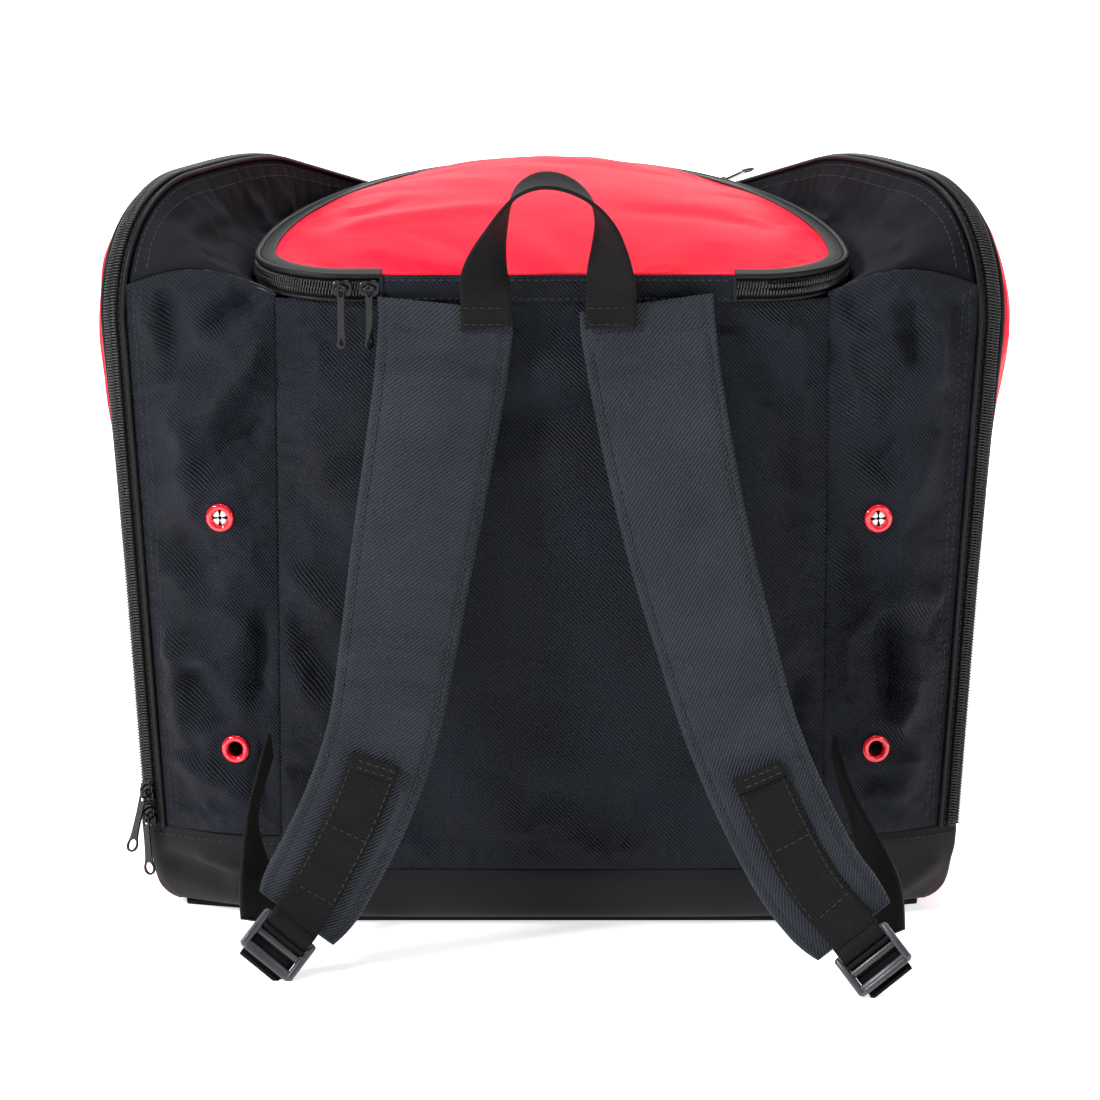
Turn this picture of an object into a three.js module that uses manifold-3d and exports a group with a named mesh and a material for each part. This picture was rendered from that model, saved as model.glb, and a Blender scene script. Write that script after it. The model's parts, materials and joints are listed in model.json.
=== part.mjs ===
// A ski boot bag worn as a backpack: a centre compartment under a domed lid, and a boot pod on each side.
// Millimetres. X runs to the wearer's right, Y away from the wearer's back, Z up. The bag stands on z = 0.
import * as THREE from "three";
import { mergeVertices } from "three/addons/utils/BufferGeometryUtils.js";
import Module from "manifold-3d";

const wasm = await Module();
wasm.setup();

// Cloth and seams
const CLOTH = 2.5; // padded fabric panel
const TAPE = 1.6; // zip tape with its coil
const TAPE_WIDE = 7; // from the middle of the zip to the tape's edge
const COIL_GAP = 0.25; // half the gap between the two halves of a zip
const SEAM = 0.5; // gap between pieces sewn edge to edge in one surface
const DOOR_SEAM = 2; // gap between a door and its zip tape
const FOLD_SEAM = 3.5; // the same where the pieces meet at an angle

// Centre compartment, seen from above
const BACK_Y = -157;
const CORNER_CENTRE = new THREE.Vector3(98, -112, 325.8);
const CORNER_RADIUS = 45;
const CORNER_TILT = Math.atan(0.13); // the rim rises towards the front
const RIM_SIDE = new THREE.Vector3(143, -12, 339);
const RIM_NOSE = new THREE.Vector3(80, 150, 350);
const RIM_FRONT = new THREE.Vector3(0, 150, 348);
const BAND_LEFT = 82;
const BAND_RIGHT = 88;
const LID_TAPE = 5.5; // from the middle of the lid zip to its tape's edge
const LID_DOME = 18;
const LID_CENTRE = new THREE.Vector3(0, 10, 344);
const CREASE_TURN = 0.813; // the angle round the rim's rear corner where the pod's crease meets it
const DIVIDER_TURN = 1.1; // and where the divider starts
const NOSE_AT = 0.17; // share of the rim's front curve that the front panel takes on each side

// Boot pod, right side. Its zip lies in an upright plane from the rear corner to the front corner.
const CREASE = new THREE.Vector2(134, -146);
const ZIP_REAR = new THREE.Vector2(216, -125);
const ZIP_FRONT = new THREE.Vector2(70, 145);
const ZIP_FOOT_Z = 45;
const ZIP_REAR_TOP_Z = 300;
const ZIP_LEAN = 12; // the zip plane leans in at the foot by this
const ZIP_FOOT_REAR = 10; // and the rear line moves forward along the plane by this
const ZIP_FOOT_FRONT = 302;
const FRONT_SHOULDER_RADIUS = 50;
const CROWN_START = new THREE.Vector2(152, 367);
const CROWN_SLOPE = THREE.MathUtils.degToRad(-13.16);
const DOOR_BULGE = 57;
const DOOR_ROUND = 1.7; // 1 would make the door's plan an ellipse, and 2 a parabola
const DOOR_ROUND_Z = 200; // the door's dome starts to close above this height
const REAR_BULGE = 6;
const REAR_TOP_Z = 318;
const REAR_TOP_RISE = 10;
const GUSSET_DENT = 7;
const EYELETS = {
  left: [
    { level: "upper", across: 0.41, up: 0.568 },
    { level: "lower", across: 0.36, up: 0.155 },
  ],
  right: [
    { level: "upper", across: 0.37, up: 0.568 },
    { level: "lower", across: 0.42, up: 0.155 },
  ],
};

// Base
const BASE_PLATE = 2;
const BOARD = 2.5;
const BAND_FOOT_Z = 2.2;
const REAR_BAND_TOP_Z = 31;
const POD_CORNER_INSET = 20; // how far the pod's rounded foot pulls in along the zip plane
const POD_CORNER_OUT = 14; // and inwards from it, at its corners and at the middle of its side
const POD_SIDE_INSET = 34;
const CREASE_INSET = 20;
const CENTRE_INSET = 16;
const DIVIDER_END_RISE = 16; // a divider's foot lifts over the rounded base at its ends

// Hardware
const EYELET = { bore: 3.75, barrel: 4.9, rim: 6.9, height: 1.5 };
const SLIDER = { long: 10, wide: 8.5, thick: 2.2, lift: 0.9, bail: 5, bar: 1.3 };
const PULLER = { long: 31, wide: 4.6, thick: 1.2 };
const EYE = { half: 1.3, top: 1.2, foot: -3.6 }; // the puller's eye, round its pivot
const BUCKLE = { wide: 31, tall: 21, thick: 5, bar: 3.5, gap: 1.7 };
const WEBBING = 24.5;
const WEB_THICK = 1.8;

const COLOURS = {
  canvas: { color: 0x23262d, roughness: 0.85, metalness: 0 },
  strap: { color: 0x2f343c, roughness: 0.85, metalness: 0 },
  plain: { color: 0x17181b, roughness: 0.8, metalness: 0 },
  red: { color: 0xe8183c, roughness: 0.35, metalness: 0 },
  tape: { color: 0x121214, roughness: 0.6, metalness: 0 },
  webbing: { color: 0x151518, roughness: 0.7, metalness: 0 },
  foam: { color: 0x3a3a3d, roughness: 0.95, metalness: 0 },
  board: { color: 0x202022, roughness: 0.6, metalness: 0 },
  buckle: { color: 0x2a2c30, roughness: 0.45, metalness: 0 },
  slider: { color: 0x101012, roughness: 0.25, metalness: 0.8 },
  enamel: { color: 0xe30f2c, roughness: 0.15, metalness: 0.3 },
};

const { lerp, smoothstep, degToRad } = THREE.MathUtils;
const X_AXIS = new THREE.Vector3(1, 0, 0);
const Z_AXIS = new THREE.Vector3(0, 0, 1);
const bag = new THREE.Group();

// --- building blocks ---------------------------------------------------------------------------

function addPiece(name, colour, geometry) {
  const piece = new THREE.Mesh(geometry, new THREE.MeshStandardMaterial(COLOURS[colour]));
  piece.name = name;
  bag.add(piece);
}

// A closed geometry from points and triangles, turned so that its faces point out.
function closedGeometry(points, triangles) {
  let volume = 0;
  for (const [a, b, c] of triangles) {
    volume += points[a].dot(new THREE.Vector3().crossVectors(points[b], points[c]));
  }
  const index = triangles.flatMap(([a, b, c]) => (volume < 0 ? [a, c, b] : [a, b, c]));
  return new THREE.BufferGeometry().setFromPoints(points).setIndex(index);
}

// The unit normal of surface(f, g), from small steps that stay inside 0..1.
function normalOf(surface, f, g) {
  const step = 1e-3;
  const alongF = surface(Math.min(f + step, 1), g).sub(surface(Math.max(f - step, 0), g));
  const alongG = surface(f, Math.min(g + step, 1)).sub(surface(f, Math.max(g - step, 0)));
  return alongF.cross(alongG).normalize();
}

// The outer normal's sign for a surface that has the point inside behind it.
function outwardSign(surface, inside) {
  return normalOf(surface, 0.5, 0.5).dot(inside.clone().sub(surface(0.5, 0.5))) > 0 ? -1 : 1;
}

// A sheet whose outer face is surface(f, g), for f and g from 0 to 1, and which thickens inwards.
function sheet(surface, columns, rows, thickness, inside) {
  const sign = outwardSign(surface, inside);
  const outer = [];
  const inner = [];
  for (let row = 0; row <= rows; row++) {
    for (let column = 0; column <= columns; column++) {
      const f = column / columns;
      const g = row / rows;
      const point = surface(f, g);
      outer.push(point);
      inner.push(point.clone().addScaledVector(normalOf(surface, f, g), -sign * thickness));
    }
  }
  const across = columns + 1;
  const count = outer.length;
  const at = (column, row) => row * across + column;
  const triangles = [];
  const quad = (a, b, c, d) => triangles.push([a, b, c], [a, c, d]);
  for (let row = 0; row < rows; row++) {
    for (let column = 0; column < columns; column++) {
      const [a, b] = [at(column, row), at(column + 1, row)];
      const [c, d] = [at(column + 1, row + 1), at(column, row + 1)];
      quad(a, b, c, d);
      quad(count + d, count + c, count + b, count + a);
    }
  }
  const edge = (a, b) => quad(b, a, count + a, count + b);
  for (let column = 0; column < columns; column++) {
    edge(at(column, 0), at(column + 1, 0));
    edge(at(column + 1, rows), at(column, rows));
  }
  for (let row = 0; row < rows; row++) {
    edge(at(columns, row), at(columns, row + 1));
    edge(at(0, row + 1), at(0, row));
  }
  return closedGeometry([...outer, ...inner], triangles);
}

// A closed solid through a list of convex rings of points, all with the same count.
function loft(rings) {
  const count = rings[0].length;
  const triangles = [];
  for (let ring = 0; ring + 1 < rings.length; ring++) {
    for (let i = 0; i < count; i++) {
      const [a, b] = [ring * count + i, ring * count + ((i + 1) % count)];
      triangles.push([a, b, b + count], [a, b + count, a + count]);
    }
  }
  const last = (rings.length - 1) * count;
  for (let i = 1; i + 1 < count; i++) {
    triangles.push([0, i + 1, i], [last, last + i, last + i + 1]);
  }
  return closedGeometry(rings.flat(), triangles);
}

// A flat outline given thickness, with its middle on the plane.
function plate(shape, thickness, curveSegments = 6) {
  const settings = { depth: thickness, bevelEnabled: false, curveSegments };
  return new THREE.ExtrudeGeometry(shape, settings).translate(0, 0, -thickness / 2);
}

// Turns a geometry's X, Y and Z to the given directions and moves it to the origin given.
function place(geometry, origin, xDir, yDir, zDir) {
  return geometry.applyMatrix4(new THREE.Matrix4().makeBasis(xDir, yDir, zDir).setPosition(origin));
}

function toSolid(geometry) {
  const bare = geometry.index ? geometry.toNonIndexed() : geometry.clone();
  bare.deleteAttribute("normal");
  bare.deleteAttribute("uv");
  const merged = mergeVertices(bare, 1e-4);
  const vertProperties = merged.attributes.position.array;
  const triVerts = new Uint32Array(merged.index.array);
  return new wasm.Manifold(new wasm.Mesh({ numProp: 3, vertProperties, triVerts }));
}

function fromSolid(solid) {
  const mesh = solid.getMesh();
  const positions = new THREE.BufferAttribute(mesh.vertProperties, 3);
  const geometry = new THREE.BufferGeometry().setAttribute("position", positions);
  return geometry.setIndex(new THREE.BufferAttribute(mesh.triVerts, 1));
}

// The left side's pieces are the right side's, mirrored in X.
const mirrored = (surface, side) => (f, g) => {
  const point = surface(f, g);
  point.x *= side;
  return point;
};

function roundedSlot(width, height) {
  const half = height / 2;
  const reach = width / 2 - half;
  const hole = new THREE.Path();
  hole.absarc(reach, 0, half, -Math.PI / 2, Math.PI / 2);
  hole.absarc(-reach, 0, half, Math.PI / 2, (3 * Math.PI) / 2);
  hole.closePath();
  return hole;
}

// --- the lid's rim: the line of the lid zip ----------------------------------------------------

class CornerArc extends THREE.Curve {
  getPoint(t, target = new THREE.Vector3()) {
    const angle = (1 - t) * (Math.PI / 2);
    const back = CORNER_RADIUS * Math.cos(angle);
    target.set(
      CORNER_CENTRE.x + CORNER_RADIUS * Math.sin(angle),
      CORNER_CENTRE.y - back * Math.cos(CORNER_TILT),
      CORNER_CENTRE.z - back * Math.sin(CORNER_TILT),
    );
    return target;
  }
}

const rimCorner = new CornerArc();
const rimCornerFront = rimCorner.getPoint(0);
const rimFrontCurve = new THREE.CubicBezierCurve3(RIM_FRONT, RIM_NOSE, RIM_SIDE, rimCornerFront);

// The right half of the rim from the front middle to a place on the rear line.
function rimHalf(rearX) {
  const rearCorner = rimCorner.getPoint(1);
  const half = new THREE.CurvePath();
  half.add(rimFrontCurve);
  half.add(rimCorner);
  half.add(new THREE.LineCurve3(rearCorner, rearCorner.clone().setX(rearX)));
  return half;
}

const rimLeft = rimHalf(BAND_LEFT);
const rimRight = rimHalf(BAND_RIGHT);
const rimWhole = rimHalf(0);

// The rim around the bag: -1 and 1 are its two rear ends, 0 is the front.
function rimAt(around, left = rimLeft, right = rimRight) {
  const point = (around < 0 ? left : right).getPoint(Math.abs(around));
  point.x *= around < 0 ? -1 : 1;
  return point;
}

function rimBand(low, high, proud) {
  return (f, g) => {
    const around = lerp(-1, 1, f);
    const point = rimAt(around);
    const step = 0.002;
    const ahead = rimAt(Math.min(around + step, 1)).sub(rimAt(Math.max(around - step, -1)));
    const outward = new THREE.Vector3(-ahead.y, ahead.x, 0).normalize();
    point.addScaledVector(outward, proud);
    point.z += lerp(low, high, g);
    return point;
  };
}

const BAG_MIDDLE = new THREE.Vector3(0, -20, 180);

// --- the pod's zip -----------------------------------------------------------------------------

const podAlong = ZIP_FRONT.clone().sub(ZIP_REAR).normalize();
const podOut = new THREE.Vector2(podAlong.y, -podAlong.x);
const podLength = ZIP_FRONT.distanceTo(ZIP_REAR);
const OUT = new THREE.Vector3(podOut.x, podOut.y, 0);

// A point of the pod: along its zip plane from the rear, out from the plane, and up.
function podPoint(along, out, up) {
  return new THREE.Vector3(
    ZIP_REAR.x + along * podAlong.x + out * podOut.x,
    ZIP_REAR.y + along * podAlong.y + out * podOut.y,
    up,
  );
}

const lowShare = (up) => Math.max(0, (ZIP_REAR_TOP_Z - up) / (ZIP_REAR_TOP_Z - ZIP_FOOT_Z));
const planeAt = (up) => -ZIP_LEAN * lowShare(up);

function makeZipLine() {
  const line = new THREE.CurvePath();
  const rearTop = new THREE.Vector2(0, ZIP_REAR_TOP_Z);
  const frontTopX = podLength;
  const radius = FRONT_SHOULDER_RADIUS;
  const slope = new THREE.Vector2(Math.cos(CROWN_SLOPE), Math.sin(CROWN_SLOPE));
  const centreX = frontTopX - radius;
  const reach = (centreX - CROWN_START.x - radius * slope.y) / slope.x;
  const crownEnd = CROWN_START.clone().addScaledVector(slope, reach);
  const centreZ = crownEnd.y - radius * slope.x;
  const crownTop = new THREE.Vector2(62, 367);
  line.add(new THREE.LineCurve(new THREE.Vector2(ZIP_FOOT_REAR, ZIP_FOOT_Z), rearTop));
  line.add(
    new THREE.CubicBezierCurve(rearTop, new THREE.Vector2(-1, 335), new THREE.Vector2(22, 364), crownTop),
  );
  line.add(
    new THREE.CubicBezierCurve(
      crownTop,
      new THREE.Vector2(92, 369.3),
      CROWN_START.clone().addScaledVector(slope, -26),
      CROWN_START,
    ),
  );
  line.add(new THREE.LineCurve(CROWN_START, crownEnd));
  const arcStart = Math.PI / 2 + CROWN_SLOPE;
  line.add(new THREE.EllipseCurve(centreX, centreZ, radius, radius, arcStart, 0, true));
  line.add(
    new THREE.LineCurve(new THREE.Vector2(frontTopX, centreZ), new THREE.Vector2(ZIP_FOOT_FRONT, ZIP_FOOT_Z)),
  );
  return { line, crownEnd, slope };
}

const zip = makeZipLine();

function zipAt(t, out) {
  const point = zip.line.getPoint(t);
  return podPoint(point.x, planeAt(point.y) + out, point.y);
}

// The share of the zip line where its rear edge passes a height, and where it turns down in front.
const zipLengths = zip.line.getCurveLengths();
const zipTotal = zipLengths[zipLengths.length - 1];
const REAR_LINE_END = zipLengths[0] / zipTotal;
const SHOULDER_END = zipLengths[4] / zipTotal;
const GUSSET_START = REAR_LINE_END + (REAR_TOP_Z - ZIP_REAR_TOP_Z) / zipTotal;

const POD_MIDDLE = podPoint(podLength / 2, -30, 190);

// --- pod panels --------------------------------------------------------------------------------

// The rear panel: across from the crease to the zip tape, up from the base band to the gusset.
function rearPanel(f, g) {
  const top = podGusset(0, f).z - CLOTH - 2 * SEAM;
  const up = lerp(ZIP_FOOT_Z + SEAM, top, g);
  const along = ZIP_FOOT_REAR * lowShare(up);
  const edge = podPoint(along, planeAt(up) - TAPE_WIDE - SEAM, up);
  const crease = new THREE.Vector3(CREASE.x, CREASE.y, up);
  const point = crease.lerp(edge, f);
  point.y -= REAR_BULGE * Math.sin(Math.PI * f);
  return point;
}

const SHOULDER_SHARE = (SHOULDER_END - GUSSET_START) / (1 - GUSSET_START);

// The gusset's inner seam: along the lid's rim, then down the edge of the front panel.
function gussetSeam(f) {
  const rimShare = Math.min(f / SHOULDER_SHARE, 1);
  const drop = Math.max(0, (f - SHOULDER_SHARE) / (1 - SHOULDER_SHARE));
  const noseStart = NOSE_AT * rimWhole.getCurveLengths()[0];
  const total = rimWhole.getLength();
  const rearX = rimWhole.getCurveLengths()[1] - CORNER_RADIUS * CREASE_TURN;
  const share = lerp(noseStart, rearX, 1 - rimShare) / total;
  const point = rimWhole.getPoint(share);
  const ahead = rimWhole.getPoint(share + 0.002).sub(rimWhole.getPoint(share - 0.002));
  const outward = new THREE.Vector3(-ahead.y, ahead.x, 0).normalize();
  if (outward.x < 0) outward.negate();
  point.addScaledVector(outward, FOLD_SEAM);
  point.z = lerp(point.z - LID_TAPE - 1, ZIP_FOOT_Z + SEAM, drop);
  return point;
}

function podGusset(f, g) {
  const seam = gussetSeam(f);
  const edge = zipAt(lerp(GUSSET_START, 1, f), -TAPE_WIDE - FOLD_SEAM);
  if (f === 1) edge.z = ZIP_FOOT_Z + SEAM;
  const point = seam.lerp(edge, g);
  const start = 1 - smoothstep(f, 0, 0.16);
  const crown = smoothstep(f, 0, 0.16) * (1 - smoothstep(f, 0.45, SHOULDER_SHARE));
  const belly = Math.sin(Math.PI * g);
  point.z += (REAR_TOP_RISE * start - GUSSET_DENT * crown) * belly;
  point.y -= REAR_BULGE * start * belly;
  return point;
}

function divider(f, g) {
  const lengths = rimWhole.getCurveLengths();
  const share = lerp(lengths[1] - CORNER_RADIUS * DIVIDER_TURN, NOSE_AT * lengths[0] + SEAM, f) / lengths[2];
  const point = rimWhole.getPoint(share);
  const foot = BASE_PLATE + BOARD + 1.5 + DIVIDER_END_RISE * Math.abs(2 * f - 1) ** 6;
  point.z = lerp(foot, point.z - LID_TAPE - SEAM, g);
  return point;
}

// How far a base band has pulled in at a height, as a share of its inset: a quarter of an ellipse.
function footShare(up, top) {
  const down = Math.max(0, Math.min(1, (top - up) / (top - BAND_FOOT_Z + 0.8)));
  return 1 - Math.sqrt(1 - down * down);
}

// The pod's outer side, from its rear corner to its front corner: how far it stands off the zip plane.
function podSide(f, up, rise) {
  const turn = (1 - Math.cos(Math.PI * f)) / 2;
  const rear = ZIP_FOOT_REAR * lowShare(up);
  const along = lerp(rear, podLength - (podLength - ZIP_FOOT_FRONT) * lowShare(up), turn);
  const belly = Math.sin(Math.PI * f) ** DOOR_ROUND;
  const stand = TAPE_WIDE + DOOR_SEAM + (DOOR_BULGE - TAPE_WIDE) * belly * rise;
  const inset = footShare(up, ZIP_FOOT_Z);
  const corner = POD_CORNER_INSET * inset * Math.cos(Math.PI * f);
  const under = lerp(POD_CORNER_OUT, POD_SIDE_INSET, belly) * inset;
  return podPoint(along + corner, planeAt(up) + stand - under, up);
}

function sideSill(f, g) {
  return podSide(f, lerp(ZIP_FOOT_Z - SEAM, BAND_FOOT_Z, g), 1);
}

function podBaseBand(f, g) {
  const up = lerp(ZIP_FOOT_Z - SEAM, BAND_FOOT_Z, g);
  const crease = new THREE.Vector3(CREASE.x, CREASE.y + CREASE_INSET * footShare(up, ZIP_FOOT_Z), up);
  const corner = podSide(0, up, 1).addScaledVector(OUT, -2 * SEAM);
  const point = crease.lerp(corner, f);
  point.y -= REAR_BULGE * Math.sin(Math.PI * f) * (1 - footShare(up, ZIP_FOOT_Z));
  return point;
}

// The boot door: columns run up from the sill to the zip's crown, and the dome closes at the zip.
function bootDoor(f, g) {
  const foot = podSide(f, ZIP_FOOT_Z + SEAM, 0);
  const turn = (1 - Math.cos(Math.PI * f)) / 2;
  const crown = zip.line.getPoint(lerp(REAR_LINE_END, SHOULDER_END, turn));
  const upper = Math.max(0, g - 0.5) * Math.PI;
  const straight = lerp(ZIP_FOOT_Z + SEAM, DOOR_ROUND_Z, Math.min(1, 2 * g));
  const up = g < 0.5 ? straight : lerp(DOOR_ROUND_Z, crown.y, Math.sin(upper));
  const footAlong = foot.clone().sub(podPoint(0, 0, 0)).dot(new THREE.Vector3(podAlong.x, podAlong.y, 0));
  const along = lerp(footAlong, crown.x, (up - ZIP_FOOT_Z) / (crown.y - ZIP_FOOT_Z));
  const rise = Math.cos(upper) * Math.sin(Math.PI * f) ** DOOR_ROUND * (DOOR_BULGE - TAPE_WIDE);
  return podPoint(along, planeAt(up) + TAPE_WIDE + DOOR_SEAM + rise, up);
}

function zipTape(near, far) {
  return (f, g) => zipAt(f, lerp(near, far, g));
}

// --- hardware ----------------------------------------------------------------------------------

// A grommet: a rim outside, a barrel through the cloth, and no sharp edge.
function eyeletGeometry() {
  const { bore, barrel, rim, height } = EYELET;
  const profile = [
    [bore, -CLOTH - 0.6],
    [barrel, -CLOTH - 0.6],
    [barrel, 0.3],
    [rim, 0.3],
    [rim - 0.4, height * 0.75],
    [(bore + rim) / 2, height],
    [bore + 0.3, height * 0.7],
    [bore, -CLOTH - 0.6],
  ];
  return new THREE.LatheGeometry(profile.map(([r, h]) => new THREE.Vector2(r, h)), 16);
}

function washerGeometry() {
  const { barrel, rim } = EYELET;
  const high = -CLOTH - 0.4;
  const low = high - 0.8;
  const profile = [
    [barrel + 0.3, low],
    [rim, low],
    [rim, high],
    [barrel + 0.3, high],
    [barrel + 0.3, low],
  ];
  return new THREE.LatheGeometry(profile.map(([r, h]) => new THREE.Vector2(r, h)), 16);
}

// Two directions square to an outward one: the first as near to the hint as it can be.
function basisFor(outward, hint) {
  const first = hint.clone().addScaledVector(outward, -hint.dot(outward)).normalize();
  return [first, outward.clone().cross(first).normalize(), outward.clone()];
}

// A slider: a plate with a bail over it, long in its own X, with the zip's face at z = 0.
function sliderGeometry() {
  const { long, wide, thick, lift, bail, bar } = SLIDER;
  const foot = new THREE.Shape();
  foot.moveTo(-long / 2, -wide / 2 + 1.5);
  foot.lineTo(-long / 2 + 1.5, -wide / 2);
  foot.lineTo(long / 2 - 3, -wide / 2);
  foot.lineTo(long / 2, -wide / 4);
  foot.lineTo(long / 2, wide / 4);
  foot.lineTo(long / 2 - 3, wide / 2);
  foot.lineTo(-long / 2 + 1.5, wide / 2);
  foot.lineTo(-long / 2, wide / 2 - 1.5);
  const arch = new THREE.Shape();
  const half = long / 2 - 1.4;
  arch.moveTo(-half, 0);
  arch.lineTo(-half, bail - 1.5);
  arch.lineTo(-half + 1.5, bail);
  arch.lineTo(half - 1.5, bail);
  arch.lineTo(half, bail - 1.5);
  arch.lineTo(half, 0);
  arch.lineTo(half - bar, 0);
  arch.lineTo(half - bar, bail - bar);
  arch.lineTo(-half + bar, bail - bar);
  arch.lineTo(-half + bar, 0);
  const footSolid = toSolid(plate(foot, thick).translate(0, 0, lift + thick / 2));
  const archSolid = toSolid(plate(arch, 1.8).rotateX(Math.PI / 2).translate(0, 0, lift + thick - 0.3));
  return fromSolid(footSolid.add(archSolid));
}

// A puller that swings across the zip turns about the bail's bar. One that tips along the zip turns
// about a place inside the bail, and its long eye passes round the bail's end.
const BAIL_FOOT = SLIDER.lift + SLIDER.thick - 0.3;
const BAR_HEIGHT = BAIL_FOOT + SLIDER.bail - SLIDER.bar / 2;
const TIP_HEIGHT = BAIL_FOOT + SLIDER.bail - SLIDER.bar - 1;
const TIP_ALONG = SLIDER.long / 2 - 1.4 - SLIDER.bar - 1;

// A puller: it hangs along -Y from the bail's bar at its origin, and is flat in its own XY plane.
function pullerGeometry() {
  const { long, wide, thick } = PULLER;
  const outline = new THREE.Shape();
  const foot = -long + EYE.top + 1 + wide / 2;
  outline.moveTo(-wide / 2, 0);
  outline.lineTo(-wide / 2, foot);
  outline.absarc(0, foot, wide / 2, Math.PI, 2 * Math.PI, false);
  outline.lineTo(wide / 2, 0);
  outline.absellipse(0, 0, wide / 2, EYE.top + 0.9, 0, Math.PI, false, 0);
  const eye = new THREE.Path();
  eye.moveTo(-EYE.half, EYE.top);
  eye.lineTo(-EYE.half, EYE.foot);
  eye.lineTo(EYE.half, EYE.foot);
  eye.lineTo(EYE.half, EYE.top);
  const hole = new THREE.Path();
  hole.absellipse(0, foot + 1.2, 1.4, 2.3, 0, 2 * Math.PI, false, 0);
  outline.holes.push(eye, hole);
  return plate(outline, thick, 5);
}

function ladderBuckleGeometry() {
  const { wide, tall, thick, bar } = BUCKLE;
  const outline = new THREE.Shape();
  const [x, y, cut] = [wide / 2, tall / 2, 2.5];
  outline.moveTo(-x + cut, -y);
  outline.lineTo(x - cut, -y);
  outline.lineTo(x, -y + cut);
  outline.lineTo(x, y - cut);
  outline.lineTo(x - cut, y);
  outline.lineTo(-x + cut, y);
  outline.lineTo(-x, y - cut);
  outline.lineTo(-x, -y + cut);
  const slotTall = (tall - 3 * bar) / 2;
  for (const way of [-1, 1]) {
    const middle = (way * (slotTall + bar)) / 2;
    const slot = roundedSlot(wide - 2 * bar + 1, slotTall);
    const points = slot.getPoints(3).map((p) => new THREE.Vector2(p.x, p.y + middle));
    outline.holes.push(new THREE.Path(points));
  }
  return plate(outline, thick, 3);
}

// --- straps ------------------------------------------------------------------------------------

// Each strap's middle line, from its sewn top to its buckle, chosen by the way it hangs and lies.
const STRAPS = {
  left: {
    side: -1,
    line: [
      [-51, -164, 302.5],
      [-54, -170, 275],
      [-60, -182, 236],
      [-67, -193, 194],
      [-74, -202, 150],
      [-81, -211, 112],
      [-93, -216, 78],
      [-107, -220, 50],
      [-121, -226, 27],
      [-136, -238, 10],
    ],
    anchor: [-138, -161, 95],
    webRoute: [
      [-142, -172, 82],
      [-145, -182, 68],
      [-144, -194, 53],
      [-141, -206, 38],
      [-138, -220, 22],
    ],
  },
  right: {
    side: 1,
    line: [
      [46, -164, 302.5],
      [50, -170, 275],
      [57, -182, 238],
      [66, -195, 198],
      [78, -210, 155],
      [90, -223, 116],
      [106, -234, 79],
      [123, -245, 49],
      [142, -254, 27],
      [156, -266, 10],
    ],
    anchor: [138, -161, 95],
    webRoute: [
      [142, -172, 80],
      [148, -186, 64],
      [153, -204, 50],
      [157, -226, 36],
      [156, -247, 22],
    ],
  },
};
const PAD_END = 0.925; // the padded strap's share of the line from top to buckle
const PAD_HALF_THICK = 5.3;
const PAD_TOP_HALF_THICK = 2.4;
const PAD_WIDTHS = [65, 60, 53, 50]; // from the top to the lower end

const toVector = ([x, y, z]) => new THREE.Vector3(x, y, z);

// The line's frame at a share of its length: the point, its direction, across the strap, and outwards.
function strapFrame(curve, share) {
  const point = curve.getPointAt(share);
  const along = curve.getTangentAt(share);
  const across = new THREE.Vector3(along.z, 0, -along.x).normalize();
  const outward = across.clone().cross(along).normalize();
  if (outward.y > 0) outward.negate();
  return { point, along, across, outward };
}

// A rectangle with cut corners, across the strap.
function bandRing(point, across, outward, halfWide, halfThick, cut) {
  const corners = [
    [-halfWide + cut, -halfThick],
    [halfWide - cut, -halfThick],
    [halfWide, -halfThick + cut],
    [halfWide, halfThick - cut],
    [halfWide - cut, halfThick],
    [-halfWide + cut, halfThick],
    [-halfWide, halfThick - cut],
    [-halfWide, -halfThick + cut],
  ];
  return corners.map(([a, b]) =>
    point.clone().addScaledVector(across, a).addScaledVector(outward, b),
  );
}

function flatRing(point, across, outward, halfWide, halfThick) {
  const corners = [
    [-halfWide, -halfThick],
    [halfWide, -halfThick],
    [halfWide, halfThick],
    [-halfWide, halfThick],
  ];
  return corners.map(([a, b]) =>
    point.clone().addScaledVector(across, a).addScaledVector(outward, b),
  );
}

function padWidth(share) {
  const place = share * (PAD_WIDTHS.length - 1);
  const index = Math.min(Math.floor(place), PAD_WIDTHS.length - 2);
  return lerp(PAD_WIDTHS[index], PAD_WIDTHS[index + 1], place - index);
}

function padHalfThick(share) {
  return lerp(PAD_TOP_HALF_THICK, PAD_HALF_THICK, smoothstep(share, 0.01, 0.1));
}

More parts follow.
